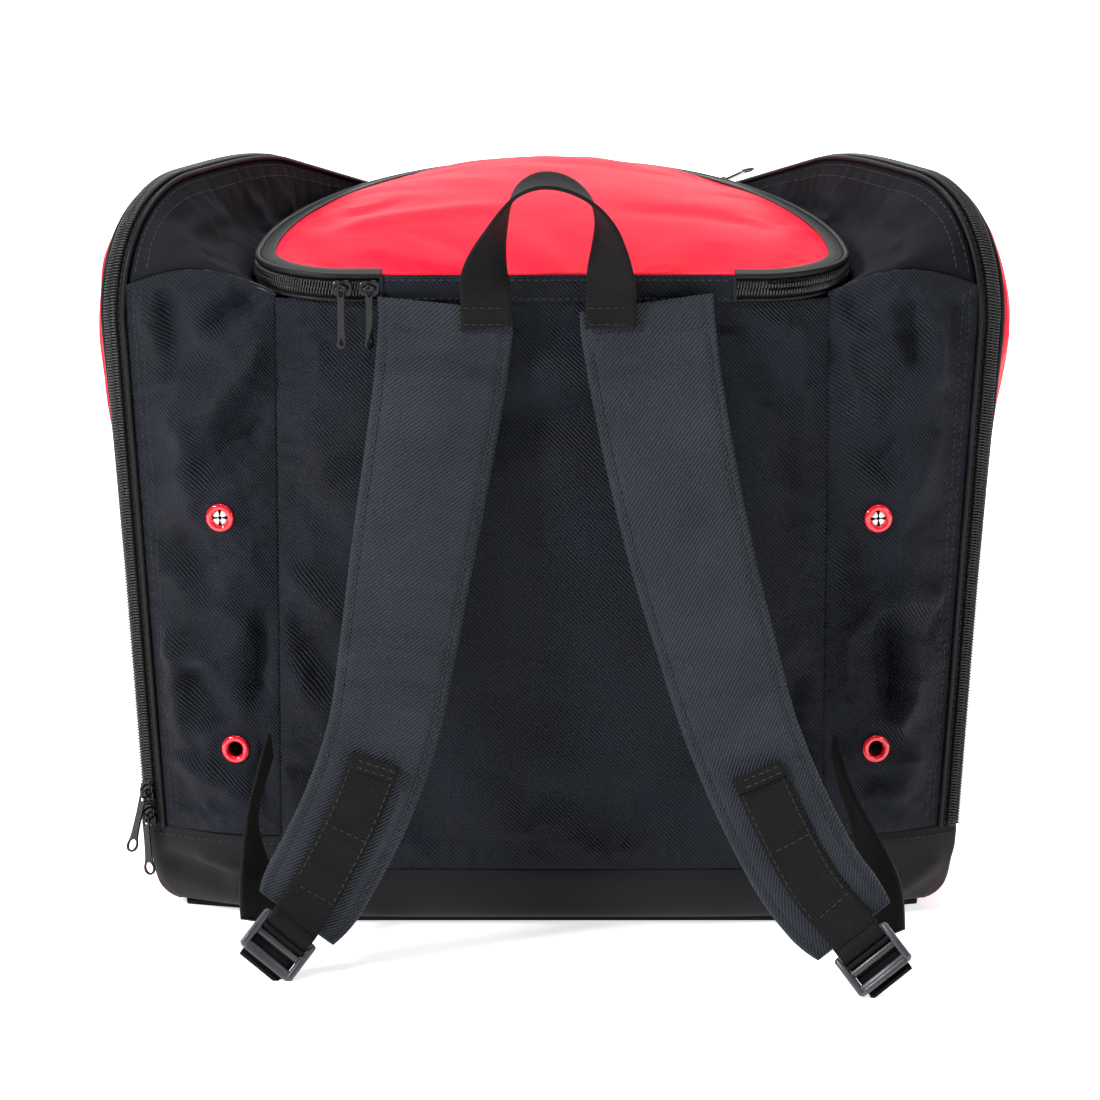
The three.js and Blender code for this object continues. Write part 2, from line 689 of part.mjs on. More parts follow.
function addStrap(name, { line, anchor, webRoute }) {
  const curve = new THREE.CatmullRomCurve3(line.map(toVector));
  const pad = [];
  const padSteps = 16;
  for (let i = 0; i <= padSteps; i++) {
    const share = i / padSteps;
    const { point, across, outward } = strapFrame(curve, share * PAD_END);
    const end = Math.max(0, share - 0.94) / 0.06;
    const half = (padWidth(share) / 2) * (1 - 0.12 * end * end);
    const thick = padHalfThick(share) * (1 - 0.3 * end * end);
    pad.push(bandRing(point, across, outward, half, thick, Math.min(thick * 0.6, 3)));
  }
  addPiece(`${name}_shoulder_strap`, "strap", loft(pad));

  // The webbing sewn on the strap's outer face, which runs on to the buckle's first bar.
  const web = [];
  const webSteps = 8;
  const webStart = 0.66;
  const webEnd = 0.94;
  for (let i = 0; i <= webSteps; i++) {
    const share = lerp(webStart, webEnd, i / webSteps);
    const { point, across, outward } = strapFrame(curve, share);
    point.addScaledVector(outward, PAD_HALF_THICK + 2 * SEAM + WEB_THICK / 2);
    web.push(flatRing(point, across, outward, WEBBING / 2, WEB_THICK / 2));
  }
  addPiece(`${name}_strap_webbing`, "webbing", loft(web));

  const end = strapFrame(curve, webEnd);
  const bucklePoint = end.point.clone();
  bucklePoint.addScaledVector(end.outward, PAD_HALF_THICK + WEB_THICK / 2);
  bucklePoint.addScaledVector(end.along, BUCKLE.tall / 2 + BUCKLE.gap);
  const buckleUp = end.along.clone().negate();
  const buckleOut = end.across.clone().cross(buckleUp);
  const buckle = ladderBuckleGeometry();
  addPiece(`${name}_ladder_buckle`, "buckle", place(buckle, bucklePoint, end.across, buckleUp, buckleOut));

  // The lower webbing leaves the crease on edge and turns flat behind the buckle.
  const routePoints = [anchor, ...webRoute].map(toVector);
  const route = new THREE.CatmullRomCurve3(routePoints);
  const lower = [];
  const lowerSteps = 12;
  for (let i = 0; i <= lowerSteps; i++) {
    const share = i / lowerSteps;
    const along = route.getTangentAt(share);
    const onEdge = X_AXIS.clone().cross(along).normalize();
    const flat = end.across.clone();
    if (flat.dot(onEdge) < 0) flat.negate();
    const across = onEdge.lerp(flat, smoothstep(share, 0.25, 1));
    across.addScaledVector(along, -across.dot(along)).normalize();
    const outward = across.clone().cross(along).normalize();
    lower.push(flatRing(route.getPointAt(share), across, outward, WEBBING / 2, WEB_THICK / 2));
  }
  addPiece(`${name}_lower_webbing`, "webbing", loft(lower));
}

// --- the haul handle ---------------------------------------------------------------------------

const HANDLE = { left: -31.7, right: 28.3, footZ: 304.6 };
const HANDLE_AXIS = { y: -168.2, z: 316 };
const HANDLE_LEAN = degToRad(12);
const HANDLE_END_DROP = 1.5; // the sewn ends stop this far below the axis, so the loop folds over them
const HANDLE_RISE = 1; // and the loop starts this far above it

// The loop's middle line, sideways and up in its own leaning plane.
const HANDLE_ROUTE = [
  [HANDLE.left, 0],
  [-32.6, 10.3],
  [-30.6, 22.3],
  [-26.8, 33.6],
  [-22.3, 44.3],
  [-16.2, 53],
  [-7, 57.7],
  [3, 57.5],
  [12.5, 53.4],
  [20.8, 45.8],
  [26, 35],
  [27.6, 23.7],
  [28, 11.3],
  [HANDLE.right, 0],
];

function addHandle() {
  const route = new THREE.CatmullRomCurve3(HANDLE_ROUTE.map(([x, up]) => new THREE.Vector3(x, 0, up)));
  const rings = [];
  const steps = 56;
  for (let i = 0; i <= steps; i++) {
    const share = i / steps;
    const along = route.getTangentAt(share);
    if (i === 0 || i === steps) along.set(0, 0, i === 0 ? 1 : -1);
    const twist = (Math.PI / 2) * Math.sin(Math.PI * share) ** 0.85;
    const inPlane = new THREE.Vector3(along.z, 0, -along.x);
    const across = inPlane.multiplyScalar(Math.cos(twist)).add(new THREE.Vector3(0, Math.sin(twist), 0));
    const outward = across.clone().cross(along).normalize();
    rings.push(flatRing(route.getPointAt(share), across, outward, WEBBING / 2, WEB_THICK / 2));
  }
  const geometry = loft(rings);
  geometry.rotateX(HANDLE_LEAN);
  geometry.translate(0, HANDLE_AXIS.y, HANDLE_AXIS.z + HANDLE_RISE);
  addPiece("haul_handle", "webbing", geometry);
  for (const [name, x] of [["left", HANDLE.left], ["right", HANDLE.right]]) {
    const tall = HANDLE_AXIS.z - HANDLE_END_DROP - HANDLE.footZ;
    const base = new THREE.BoxGeometry(WEBBING, WEB_THICK, tall);
    base.translate(x, HANDLE_AXIS.y, HANDLE.footZ + tall / 2);
    addPiece(`${name}_handle_end`, "webbing", base);
  }
}

// --- the centre compartment --------------------------------------------------------------------

function backPanel(f, g) {
  const x = lerp(-CREASE.x + 3, CREASE.x - 3, f);
  const across = x / CREASE.x;
  const point = new THREE.Vector3(x, BACK_Y, lerp(REAR_BAND_TOP_Z + SEAM, 313.4, g));
  point.y += 11 * across ** 6 - 3 * (1 - across * across) * Math.sin(Math.PI * g);
  return point;
}

function backFoam(f, g) {
  const point = backPanel(lerp(0.12, 0.88, f), lerp(0.05, 0.95, g));
  point.y += CLOTH + 0.8;
  return point;
}

function rearBaseBand(f, g) {
  const up = lerp(REAR_BAND_TOP_Z, BAND_FOOT_Z, g);
  const x = lerp(-CREASE.x + 3, CREASE.x - 3, f);
  const across = x / CREASE.x;
  const inset = lerp(CENTRE_INSET, CREASE_INSET - 11, across ** 6) * footShare(up, REAR_BAND_TOP_Z);
  return new THREE.Vector3(x, BACK_Y + 11 * across ** 6 + inset, up);
}

function nosePoint(f, up, inset) {
  const around = lerp(-1, 1, f) * NOSE_AT * 0.97;
  const point = rimFrontCurve.getPointAt(Math.abs(around));
  if (around < 0) point.x *= -1;
  point.y -= inset;
  const rim = point.z;
  point.z = up === null ? rim : up;
  return point;
}

function frontPanel(f, g) {
  const point = nosePoint(f, null, 0);
  point.z = lerp(ZIP_FOOT_Z + SEAM, point.z - LID_TAPE - SEAM, g);
  return point;
}

function frontBaseBand(f, g) {
  const up = lerp(ZIP_FOOT_Z - SEAM, BAND_FOOT_Z, g);
  return nosePoint(f, up, CREASE_INSET * footShare(up, ZIP_FOOT_Z));
}

function hingeBand(f, g) {
  return new THREE.Vector3(lerp(-BAND_LEFT + SEAM, BAND_RIGHT - SEAM, f), BACK_Y - 1.8, lerp(314, 325, g));
}

// The lid: rings of points from the rim to its middle, with a dome over them, and a skin below.
function lidGeometry() {
  const around = 48;
  const rings = 5;
  const outer = [];
  const inner = [];
  const centre = LID_CENTRE.clone();
  centre.z += LID_DOME;
  for (let ring = 0; ring < rings; ring++) {
    const share = 1 - ring / rings;
    for (let i = 0; i < around; i++) {
      const place = lerp(-1, 1, i / around);
      const rim = rimAt(place, rimWhole, rimWhole);
      rim.z += LID_TAPE + SEAM;
      const point = LID_CENTRE.clone().lerp(rim, share);
      point.z += LID_DOME * (1 - share ** 2.2);
      outer.push(point);
      const deep = point.clone();
      deep.z -= ring === 0 ? 0 : CLOTH;
      const inward = LID_CENTRE.clone().sub(rim).setZ(0).normalize();
      if (ring === 0) deep.addScaledVector(inward, CLOTH);
      inner.push(deep);
    }
  }
  const centreDeep = centre.clone();
  centreDeep.z -= CLOTH;
  const points = [...outer, centre, ...inner, centreDeep];
  const [top, lower] = [outer.length, outer.length + 1];
  const bottom = lower + inner.length;
  const triangles = [];
  for (let ring = 0; ring + 1 < rings; ring++) {
    for (let i = 0; i < around; i++) {
      const [a, b] = [ring * around + i, ring * around + ((i + 1) % around)];
      const [c, d] = [b + around, a + around];
      triangles.push([a, b, c], [a, c, d]);
      triangles.push([lower + c, lower + b, lower + a], [lower + d, lower + c, lower + a]);
    }
  }
  const lastRing = (rings - 1) * around;
  for (let i = 0; i < around; i++) {
    const next = (i + 1) % around;
    const [a, b] = [lastRing + i, lastRing + next];
    triangles.push([a, b, top], [lower + b, lower + a, bottom]);
    triangles.push([next, i, lower + i], [next, lower + i, lower + next]);
  }
  return closedGeometry(points, triangles);
}

// The base's outline, a little inside the feet of the bands.
function baseOutline(inset) {
  const right = [];
  const up = BAND_FOOT_Z;
  right.push(new THREE.Vector2(0, BACK_Y + CENTRE_INSET + inset));
  right.push(new THREE.Vector2(CREASE.x - 20, BACK_Y + CENTRE_INSET + inset));
  right.push(new THREE.Vector2(CREASE.x, CREASE.y + CREASE_INSET + inset + 1));
  const steps = 12;
  for (let i = 0; i <= steps; i++) {
    const point = podSide(i / steps, up, 1).addScaledVector(OUT, -inset - 2);
    const along = inset * Math.cos((Math.PI * i) / steps);
    right.push(new THREE.Vector2(point.x + along * podAlong.x, point.y + along * podAlong.y));
  }
  const nose = nosePoint(1, up, CREASE_INSET + inset + 2);
  right.push(new THREE.Vector2(nose.x - inset, nose.y));
  right.push(new THREE.Vector2(0, RIM_FRONT.y - CREASE_INSET - inset - 2));
  const left = right.slice(1, -1).reverse().map((p) => new THREE.Vector2(-p.x, p.y));
  return new THREE.Shape([...right, ...left]);
}

// --- assembly ----------------------------------------------------------------------------------

function addCentre() {
  const base = plate(baseOutline(1.2), BASE_PLATE).translate(0, 0, BASE_PLATE / 2);
  const board = plate(baseOutline(8), BOARD).translate(0, 0, BASE_PLATE + 0.4 + BOARD / 2);
  addPiece("base_panel", "plain", base);
  addPiece("base_board", "board", board);
  addPiece("back_panel", "canvas", sheet(backPanel, 10, 6, CLOTH, BAG_MIDDLE));
  addPiece("back_foam", "foam", sheet(backFoam, 6, 4, 6, BAG_MIDDLE));
  addPiece("rear_base_band", "plain", sheet(rearBaseBand, 8, 4, CLOTH, BAG_MIDDLE));
  addPiece("front_panel", "red", sheet(frontPanel, 8, 6, CLOTH, BAG_MIDDLE));
  addPiece("front_base_band", "plain", sheet(frontBaseBand, 6, 4, CLOTH, BAG_MIDDLE));
  addPiece("lid_hinge_band", "canvas", sheet(hingeBand, 4, 1, TAPE, BAG_MIDDLE));
  addPiece("lid", "red", lidGeometry());
  const lower = rimBand(-LID_TAPE, -COIL_GAP, 1);
  const upper = rimBand(COIL_GAP, LID_TAPE, 1);
  addPiece("lid_zip_lower", "tape", sheet(lower, 56, 1, TAPE, BAG_MIDDLE));
  addPiece("lid_zip_upper", "tape", sheet(upper, 56, 1, TAPE, BAG_MIDDLE));
}

function addLidSliders() {
  const backward = new THREE.Vector3(0, -1, 0);
  const corner = rimCorner.getPoint(1);
  const arcTurn = Math.asin((101 - CORNER_CENTRE.x) / CORNER_RADIUS);
  const places = [
    { name: "lid_slider_outer", point: rimCorner.getPoint(1 - arcTurn / (Math.PI / 2)), turn: arcTurn },
    { name: "lid_slider_inner", point: corner.clone().setX(88), turn: 0 },
  ];
  for (const { name, point, turn } of places) {
    const outward = backward.clone().applyAxisAngle(Z_AXIS, -turn);
    const along = X_AXIS.clone().negate().applyAxisAngle(Z_AXIS, -turn);
    point.x *= -1;
    point.addScaledVector(outward, 1);
    const slider = place(sliderGeometry(), point, along, outward.clone().cross(along), outward);
    addPiece(name, "slider", slider);
    const pivot = point.clone().addScaledVector(outward, BAR_HEIGHT);
    const puller = place(pullerGeometry(), pivot, outward, Z_AXIS, outward.clone().cross(Z_AXIS));
    addPiece(name.replace("slider", "puller"), "slider", puller);
  }
}

// A slider and its puller on a pod's zip. The puller hangs or lies along the given way.
function addPodSlider(name, side, along, up, slope, way, tilt) {
  const point = podPoint(along, planeAt(up), up);
  const tangent = slope.clone().normalize();
  const outward = tangent.clone().cross(OUT).normalize();
  if (outward.dot(point.clone().sub(POD_MIDDLE)) < 0) outward.negate();
  const hang = tangent.clone().multiplyScalar(way).multiplyScalar(Math.cos(tilt));
  hang.addScaledVector(outward, Math.sin(tilt));
  const pivot = point.clone().addScaledVector(outward, TIP_HEIGHT).addScaledVector(tangent, way * TIP_ALONG);
  for (const vector of [point, pivot, tangent, outward, hang]) vector.x *= side;
  const slider = place(sliderGeometry(), point, tangent, outward.clone().cross(tangent), outward);
  const pullerUp = hang.clone().negate();
  const pullerSide = OUT.clone();
  pullerSide.x *= side;
  pullerSide.addScaledVector(pullerUp, -pullerSide.dot(pullerUp)).normalize();
  const faceOut = pullerSide.clone().cross(pullerUp);
  const puller = place(pullerGeometry(), pivot, pullerSide, pullerUp, faceOut);
  addPiece(name, "slider", slider);
  addPiece(name.replace("slider", "puller"), "slider", puller);
}

function addPodSliders() {
  const rearUp = podPoint(0, 0, ZIP_REAR_TOP_Z).sub(podPoint(ZIP_FOOT_REAR, -ZIP_LEAN, ZIP_FOOT_Z));
  const rearAlong = (up) => ZIP_FOOT_REAR * lowShare(up);
  addPodSlider("left_door_slider_lower", -1, rearAlong(51), 51, rearUp, -1, 0);
  addPodSlider("left_door_slider_upper", -1, rearAlong(63), 63, rearUp, -1, degToRad(30));
  const crown = podPoint(zip.slope.x, 0, zip.slope.y).sub(podPoint(0, 0, 0));
  const rearward = zip.crownEnd.clone().addScaledVector(zip.slope, -SLIDER.long - 1.5);
  addPodSlider("right_door_slider_rear", 1, rearward.x, rearward.y, crown, -1, degToRad(4));
  addPodSlider("right_door_slider_front", 1, zip.crownEnd.x, zip.crownEnd.y, crown, 1, degToRad(4));
}

// Cuts the eyelets' holes in a rear panel and adds each eyelet with its washer.
function addRearPanel(name, side) {
  const surface = mirrored(rearPanel, side);
  const middle = POD_MIDDLE.clone();
  middle.x *= side;
  const sign = outwardSign(surface, middle);
  let panel = toSolid(sheet(surface, 8, 10, CLOTH, middle));
  for (const { level, across, up } of EYELETS[name]) {
    const point = surface(across, up);
    const outward = normalOf(surface, across, up).multiplyScalar(sign);
    const [first, second] = basisFor(outward, X_AXIS);
    const turn = (geometry) => place(geometry, point, first, outward, second.clone().negate());
    const drill = turn(new THREE.CylinderGeometry(EYELET.barrel + 0.4, EYELET.barrel + 0.4, 20, 16));
    panel = panel.subtract(toSolid(drill));
    addPiece(`${name}_eyelet_${level}`, "enamel", turn(eyeletGeometry()));
    addPiece(`${name}_washer_${level}`, "slider", turn(washerGeometry()));
  }
  addPiece(`${name}_rear_panel`, "canvas", fromSolid(panel));
}

function addPod(name, side) {
  const middle = POD_MIDDLE.clone();
  middle.x *= side;
  const inBag = BAG_MIDDLE;
  const turned = (surface) => mirrored(surface, side);
  addRearPanel(name, side);
  addPiece(`${name}_pod_gusset`, "canvas", sheet(turned(podGusset), 22, 4, CLOTH, middle));
  addPiece(`${name}_divider`, "plain", sheet(turned(divider), 12, 4, CLOTH, inBag));
  addPiece(`${name}_base_band`, "plain", sheet(turned(podBaseBand), 8, 4, CLOTH, middle));
  addPiece(`${name}_side_sill`, "red", sheet(turned(sideSill), 14, 4, CLOTH, middle));
  addPiece(`${name}_boot_door`, "red", sheet(turned(bootDoor), 14, 12, CLOTH, middle));
  const inner = turned(zipTape(-TAPE_WIDE, -COIL_GAP));
  const outer = turned(zipTape(COIL_GAP, TAPE_WIDE));
  addPiece(`${name}_zip_inner`, "tape", sheet(inner, 44, 1, TAPE, middle));
  addPiece(`${name}_zip_outer`, "tape", sheet(outer, 44, 1, TAPE, middle));
}

addCentre();
addLidSliders();
addPodSliders();
addPod("left", -1);
addPod("right", 1);
addStrap("left", STRAPS.left);
addStrap("right", STRAPS.right);
addHandle();

export default bag;
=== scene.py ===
"""A ski boot bag worn as a backpack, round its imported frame: cloth, zips, straps, webbing and hardware."""

import json
import math

import bpy
import numpy as np
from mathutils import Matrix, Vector

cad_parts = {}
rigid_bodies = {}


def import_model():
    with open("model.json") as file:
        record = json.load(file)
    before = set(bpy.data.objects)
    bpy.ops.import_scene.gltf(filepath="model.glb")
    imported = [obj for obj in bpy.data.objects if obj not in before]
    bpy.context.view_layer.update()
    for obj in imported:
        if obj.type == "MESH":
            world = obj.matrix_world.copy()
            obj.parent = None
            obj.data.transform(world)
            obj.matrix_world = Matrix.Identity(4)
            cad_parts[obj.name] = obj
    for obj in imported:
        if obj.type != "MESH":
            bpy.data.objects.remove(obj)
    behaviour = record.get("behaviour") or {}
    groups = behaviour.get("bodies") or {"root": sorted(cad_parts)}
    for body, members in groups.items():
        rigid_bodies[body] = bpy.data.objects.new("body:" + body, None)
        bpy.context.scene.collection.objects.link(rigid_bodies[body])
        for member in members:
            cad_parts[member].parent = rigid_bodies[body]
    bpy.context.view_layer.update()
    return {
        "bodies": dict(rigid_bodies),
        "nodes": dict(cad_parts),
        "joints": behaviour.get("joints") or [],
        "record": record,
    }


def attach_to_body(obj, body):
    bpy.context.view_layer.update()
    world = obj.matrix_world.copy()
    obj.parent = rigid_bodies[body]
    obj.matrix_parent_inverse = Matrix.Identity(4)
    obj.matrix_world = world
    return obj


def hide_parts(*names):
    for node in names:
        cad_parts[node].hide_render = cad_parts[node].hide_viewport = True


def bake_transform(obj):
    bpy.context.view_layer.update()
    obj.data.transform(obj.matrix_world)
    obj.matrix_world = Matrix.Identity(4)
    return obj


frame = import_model()

# Shapes are worked out in millimetres and written to meshes in metres.
MM = 0.001
UV_PER_MM = 0.01  # the weave's own map

# --- the camera and the room ---

FRAME_PX = 1100
SENSOR = 36.0
FOCAL_PX = 3974.0
CAMERA_AT = Vector((0.0, -2.061, 0.544))
PITCH = math.radians(10.0)
PRINCIPAL = (552.0, 516.0)


def add_camera():
    data = bpy.data.cameras.new("camera")
    camera = bpy.data.objects.new("camera", data)
    bpy.context.scene.collection.objects.link(camera)
    data.sensor_width = SENSOR
    data.lens = SENSOR * FOCAL_PX / FRAME_PX
    data.shift_x = (FRAME_PX / 2 - PRINCIPAL[0]) / FRAME_PX
    data.shift_y = (PRINCIPAL[1] - FRAME_PX / 2) / FRAME_PX
    camera.location = CAMERA_AT
    camera.rotation_euler = (math.pi / 2 - PITCH, 0, 0)
    bpy.context.scene.camera = camera


STAGE_WHITE = (0.93, 0.935, 0.94, 1)


def add_stage_plane(name, size, place, tilt, glow):
    bpy.ops.mesh.primitive_plane_add(size=size, location=place, rotation=(tilt, 0, 0))
    plane = bpy.context.object
    plane.name = name
    made = bpy.data.materials.new(name + "_white")
    made.use_nodes = True
    shader = made.node_tree.nodes["Principled BSDF"]
    shader.inputs["Base Color"].default_value = STAGE_WHITE
    shader.inputs["Roughness"].default_value = 0.9
    shader.inputs["Emission Color"].default_value = (1, 1, 1, 1)
    shader.inputs["Emission Strength"].default_value = glow
    plane.data.materials.append(made)
    return made


def brighten_far(material, near, far):
    """The floor lights up with distance from its middle, so that it runs into the backdrop unseen."""
    tree = material.node_tree
    place = tree.nodes.new("ShaderNodeTexCoord")
    reach = tree.nodes.new("ShaderNodeVectorMath")
    reach.operation = "LENGTH"
    spread = tree.nodes.new("ShaderNodeMapRange")
    spread.inputs["From Min"].default_value, spread.inputs["From Max"].default_value = near, far
    spread.inputs["To Min"].default_value, spread.inputs["To Max"].default_value = FLOOR_GLOW, BACKDROP_GLOW
    tree.links.new(place.outputs["Object"], reach.inputs[0])
    tree.links.new(reach.outputs["Value"], spread.inputs["Value"])
    tree.links.new(spread.outputs[0], tree.nodes["Principled BSDF"].inputs["Emission Strength"])


FLOOR_GLOW = 0.7
BACKDROP_GLOW = 1.1
FLOOR_SIZE = 40
BACKDROP_SIZE = 14
BACKDROP_AT = (0, 4, 0)


def add_stage():
    floor = add_stage_plane("floor", FLOOR_SIZE, (0, 0, 0), 0, FLOOR_GLOW)
    brighten_far(floor, 0.35, 0.9)
    add_stage_plane("backdrop", BACKDROP_SIZE, BACKDROP_AT, math.pi / 2, BACKDROP_GLOW)


def add_area_light(name, place, target, size, power):
    data = bpy.data.lights.new(name, "AREA")
    data.shape = "RECTANGLE"
    data.size, data.size_y = size
    data.energy = power
    light = bpy.data.objects.new(name, data)
    light.location = place
    aim = Vector(target) - Vector(place)
    light.rotation_euler = aim.to_track_quat("-Z", "Y").to_euler()
    bpy.context.scene.collection.objects.link(light)


WORLD_LIGHT = 0.08
# Each light: its name, its place, what it points at, its size, and its power in watts.
LIGHTS = [
    ("key", (-1.5, -1.1, 1.3), (0, -0.1, 0.2), (0.4, 0.35), 44),
    ("fill", (1.5, -1.3, 0.7), (0, -0.1, 0.2), (0.5, 0.5), 6),
    ("top", (0.0, 0.0, 2.0), (0, -0.1, 0.0), (1.2, 1.0), 34),
]


def add_lights():
    world = bpy.data.worlds.new("studio")
    bpy.context.scene.world = world
    world.use_nodes = True
    background = world.node_tree.nodes["Background"]
    background.inputs["Color"].default_value = (1.0, 1.0, 1.0, 1)
    background.inputs["Strength"].default_value = WORLD_LIGHT
    for light in LIGHTS:
        add_area_light(*light)
    bpy.context.scene.view_settings.view_transform = "Standard"


# --- numbers, curves and surfaces ---


def lerp(a, b, t):
    return a + (b - a) * t


def smooth(value, low, high):
    t = np.clip((np.asarray(value, float) - low) / (high - low), 0, 1)
    return t * t * (3 - 2 * t)


def unit(v):
    return v / np.maximum(np.linalg.norm(v, axis=-1, keepdims=True), 1e-9)


def bezier(points, steps):
    t = np.linspace(0, 1, steps)[:, None]
    a, b, c, d = (np.asarray(p, float) for p in points)
    return (1 - t) ** 3 * a + 3 * (1 - t) ** 2 * t * b + 3 * (1 - t) * t * t * c + t**3 * d


class Line:
    """A line through many points, read by the share of its length."""

    def __init__(self, points):
        points = np.asarray(points, float)
        steps = np.linalg.norm(np.diff(points, axis=0), axis=1)
        keep = np.concatenate([[True], steps > 1e-7])
        self.points = points[keep]
        steps = np.linalg.norm(np.diff(self.points, axis=0), axis=1)
        self.at = np.concatenate([[0], np.cumsum(steps)])
        self.length = self.at[-1]

    def read(self, share):
        share = np.asarray(share, float) * self.length
        axes = [np.interp(share, self.at, self.points[:, k]) for k in range(self.points.shape[1])]
        return np.stack(axes, -1)

    def direction(self, share, step=0.002):
        ahead = self.read(np.clip(np.asarray(share, float) + step, 0, 1))
        return unit(ahead - self.read(np.clip(np.asarray(share, float) - step, 0, 1)))


def through(points, steps=40):
    """A centripetal curve through a few points, as three.js draws it."""
    p = np.asarray(points, float)
    ends = [2 * p[0] - p[1]], [2 * p[-1] - p[-2]]
    p = np.concatenate([ends[0], p, ends[1]])
    out = []
    for i in range(1, len(p) - 2):
        knots = [0.0]
        for k in range(3):
            knots.append(knots[-1] + max(np.linalg.norm(p[i + k] - p[i + k - 1]), 1e-6) ** 0.5)
        t0, t1, t2, t3 = knots
        t = np.linspace(t1, t2, steps, endpoint=False)[:, None]
        a1 = (t1 - t) / (t1 - t0) * p[i - 1] + (t - t0) / (t1 - t0) * p[i]
        a2 = (t2 - t) / (t2 - t1) * p[i] + (t - t1) / (t2 - t1) * p[i + 1]
        a3 = (t3 - t) / (t3 - t2) * p[i + 1] + (t - t2) / (t3 - t2) * p[i + 2]
        b1 = (t2 - t) / (t2 - t0) * a1 + (t - t0) / (t2 - t0) * a2
        b2 = (t3 - t) / (t3 - t1) * a2 + (t - t1) / (t3 - t1) * a3
        out.append((t2 - t) / (t2 - t1) * b1 + (t - t1) / (t2 - t1) * b2)
    out.append(p[-2][None])
    return Line(np.concatenate(out))


def wobble(u, v, scale, seed):
    """A smooth uneven height between about -1 and 1, of sines that never repeat over a panel."""
    rng = np.random.default_rng(seed)
    total = np.zeros(np.broadcast(u, v).shape)
    for _ in range(7):
        angle = rng.uniform(0, 2 * math.pi)
        pitch = scale * rng.uniform(0.7, 1.5)
        phase = rng.uniform(0, 2 * math.pi)
        across = u * math.cos(angle) + v * math.sin(angle)
        bend = np.sin((-u * math.sin(angle) + v * math.cos(angle)) / (pitch * 1.7) + phase)
        total = total + np.sin(across / pitch * 2 + phase + 1.3 * bend)
    return total / 4.2


def points_at(x, y, z):
    """Points from three coordinates, each a number or an array."""
    return np.stack(np.broadcast_arrays(x, y, z), -1)


def full_turn(count):
    return np.linspace(0, 2 * math.pi, count, endpoint=False)


def grid_normals(points):
    along_f = np.gradient(points, axis=0)
    along_g = np.gradient(points, axis=1)
    return unit(np.cross(along_f, along_g))


def outer_normals(points, inward):
    """The directions out of a panel, away from a point inside the bag."""
    normals = grid_normals(points)
    if np.sum(normals * (np.asarray(inward, float) - points)) > 0:
        normals = -normals
    return normals


def panel_lengths(points):
    """How far each grid point is across and up its panel, in millimetres, for the weave."""
    step_f = np.linalg.norm(np.diff(points, axis=0), axis=2).mean(axis=1)
    step_g = np.linalg.norm(np.diff(points, axis=1), axis=2).mean(axis=0)
    u = np.concatenate([[0], np.cumsum(step_f)])
    v = np.concatenate([[0], np.cumsum(step_g)])
    return np.meshgrid(u, v, indexing="ij")


def seam_distance(u, v):
    return np.minimum(np.minimum(u, u.max() - u), np.minimum(v, v.max() - v))


# --- meshes ---


def add_mesh(name, points, faces, material, uvs=None):
    data = bpy.data.meshes.new(name)
    data.from_pydata((np.asarray(points) * MM).tolist(), [], [list(map(int, f)) for f in faces])
    data.update()
    if uvs is not None:
        layer = data.uv_layers.new(name="weave")
        corner = np.zeros(len(data.loops), dtype=np.int64)
        data.loops.foreach_get("vertex_index", corner)
        layer.data.foreach_set("uv", (np.asarray(uvs)[corner] * UV_PER_MM).astype(np.float32).ravel())
    data.polygons.foreach_set("use_smooth", [True] * len(data.polygons))
    piece = bpy.data.objects.new(name, data)
    bpy.context.scene.collection.objects.link(piece)
    data.materials.append(material)
    return piece


def sheet_mesh(name, points, inward, thickness, material, lining=None):
    """A closed sheet of cloth whose outer face is a grid of points. inward points into the bag."""
    n, m = points.shape[:2]
    normals = outer_normals(points, inward)
    u, v = panel_lengths(points)
    inner = points - normals * thickness
    vertices = np.concatenate([points.reshape(-1, 3), inner.reshape(-1, 3)])
    uvs = np.concatenate([np.stack([u, v], -1).reshape(-1, 2)] * 2)
    index = np.arange(n * m).reshape(n, m)
    a, b = index[:-1, :-1].ravel(), index[1:, :-1].ravel()
    c, d = index[1:, 1:].ravel(), index[:-1, 1:].ravel()
    flip = np.sum(np.cross(points[1, 0] - points[0, 0], points[0, 1] - points[0, 0]) * normals[0, 0]) < 0
    outer_faces = np.stack([a, d, c, b] if flip else [a, b, c, d], 1)
    inner_faces = outer_faces[:, ::-1] + n * m
    ring = np.concatenate([index[:, 0], index[-1, 1:], index[-2::-1, -1], index[0, -2:0:-1]])
    after = np.roll(ring, -1)
    walls = np.stack([after, ring, ring + n * m, after + n * m], 1)
    if flip:
        walls = walls[:, ::-1]
    faces = np.concatenate([outer_faces, inner_faces, walls])
    piece = add_mesh(name, vertices, faces, material, uvs=uvs)
    if lining is not None:
        piece.data.materials.append(lining)
        slots = [0] * len(outer_faces) + [1] * (len(inner_faces) + len(walls))
        piece.data.polygons.foreach_set("material_index", slots)
    return piece


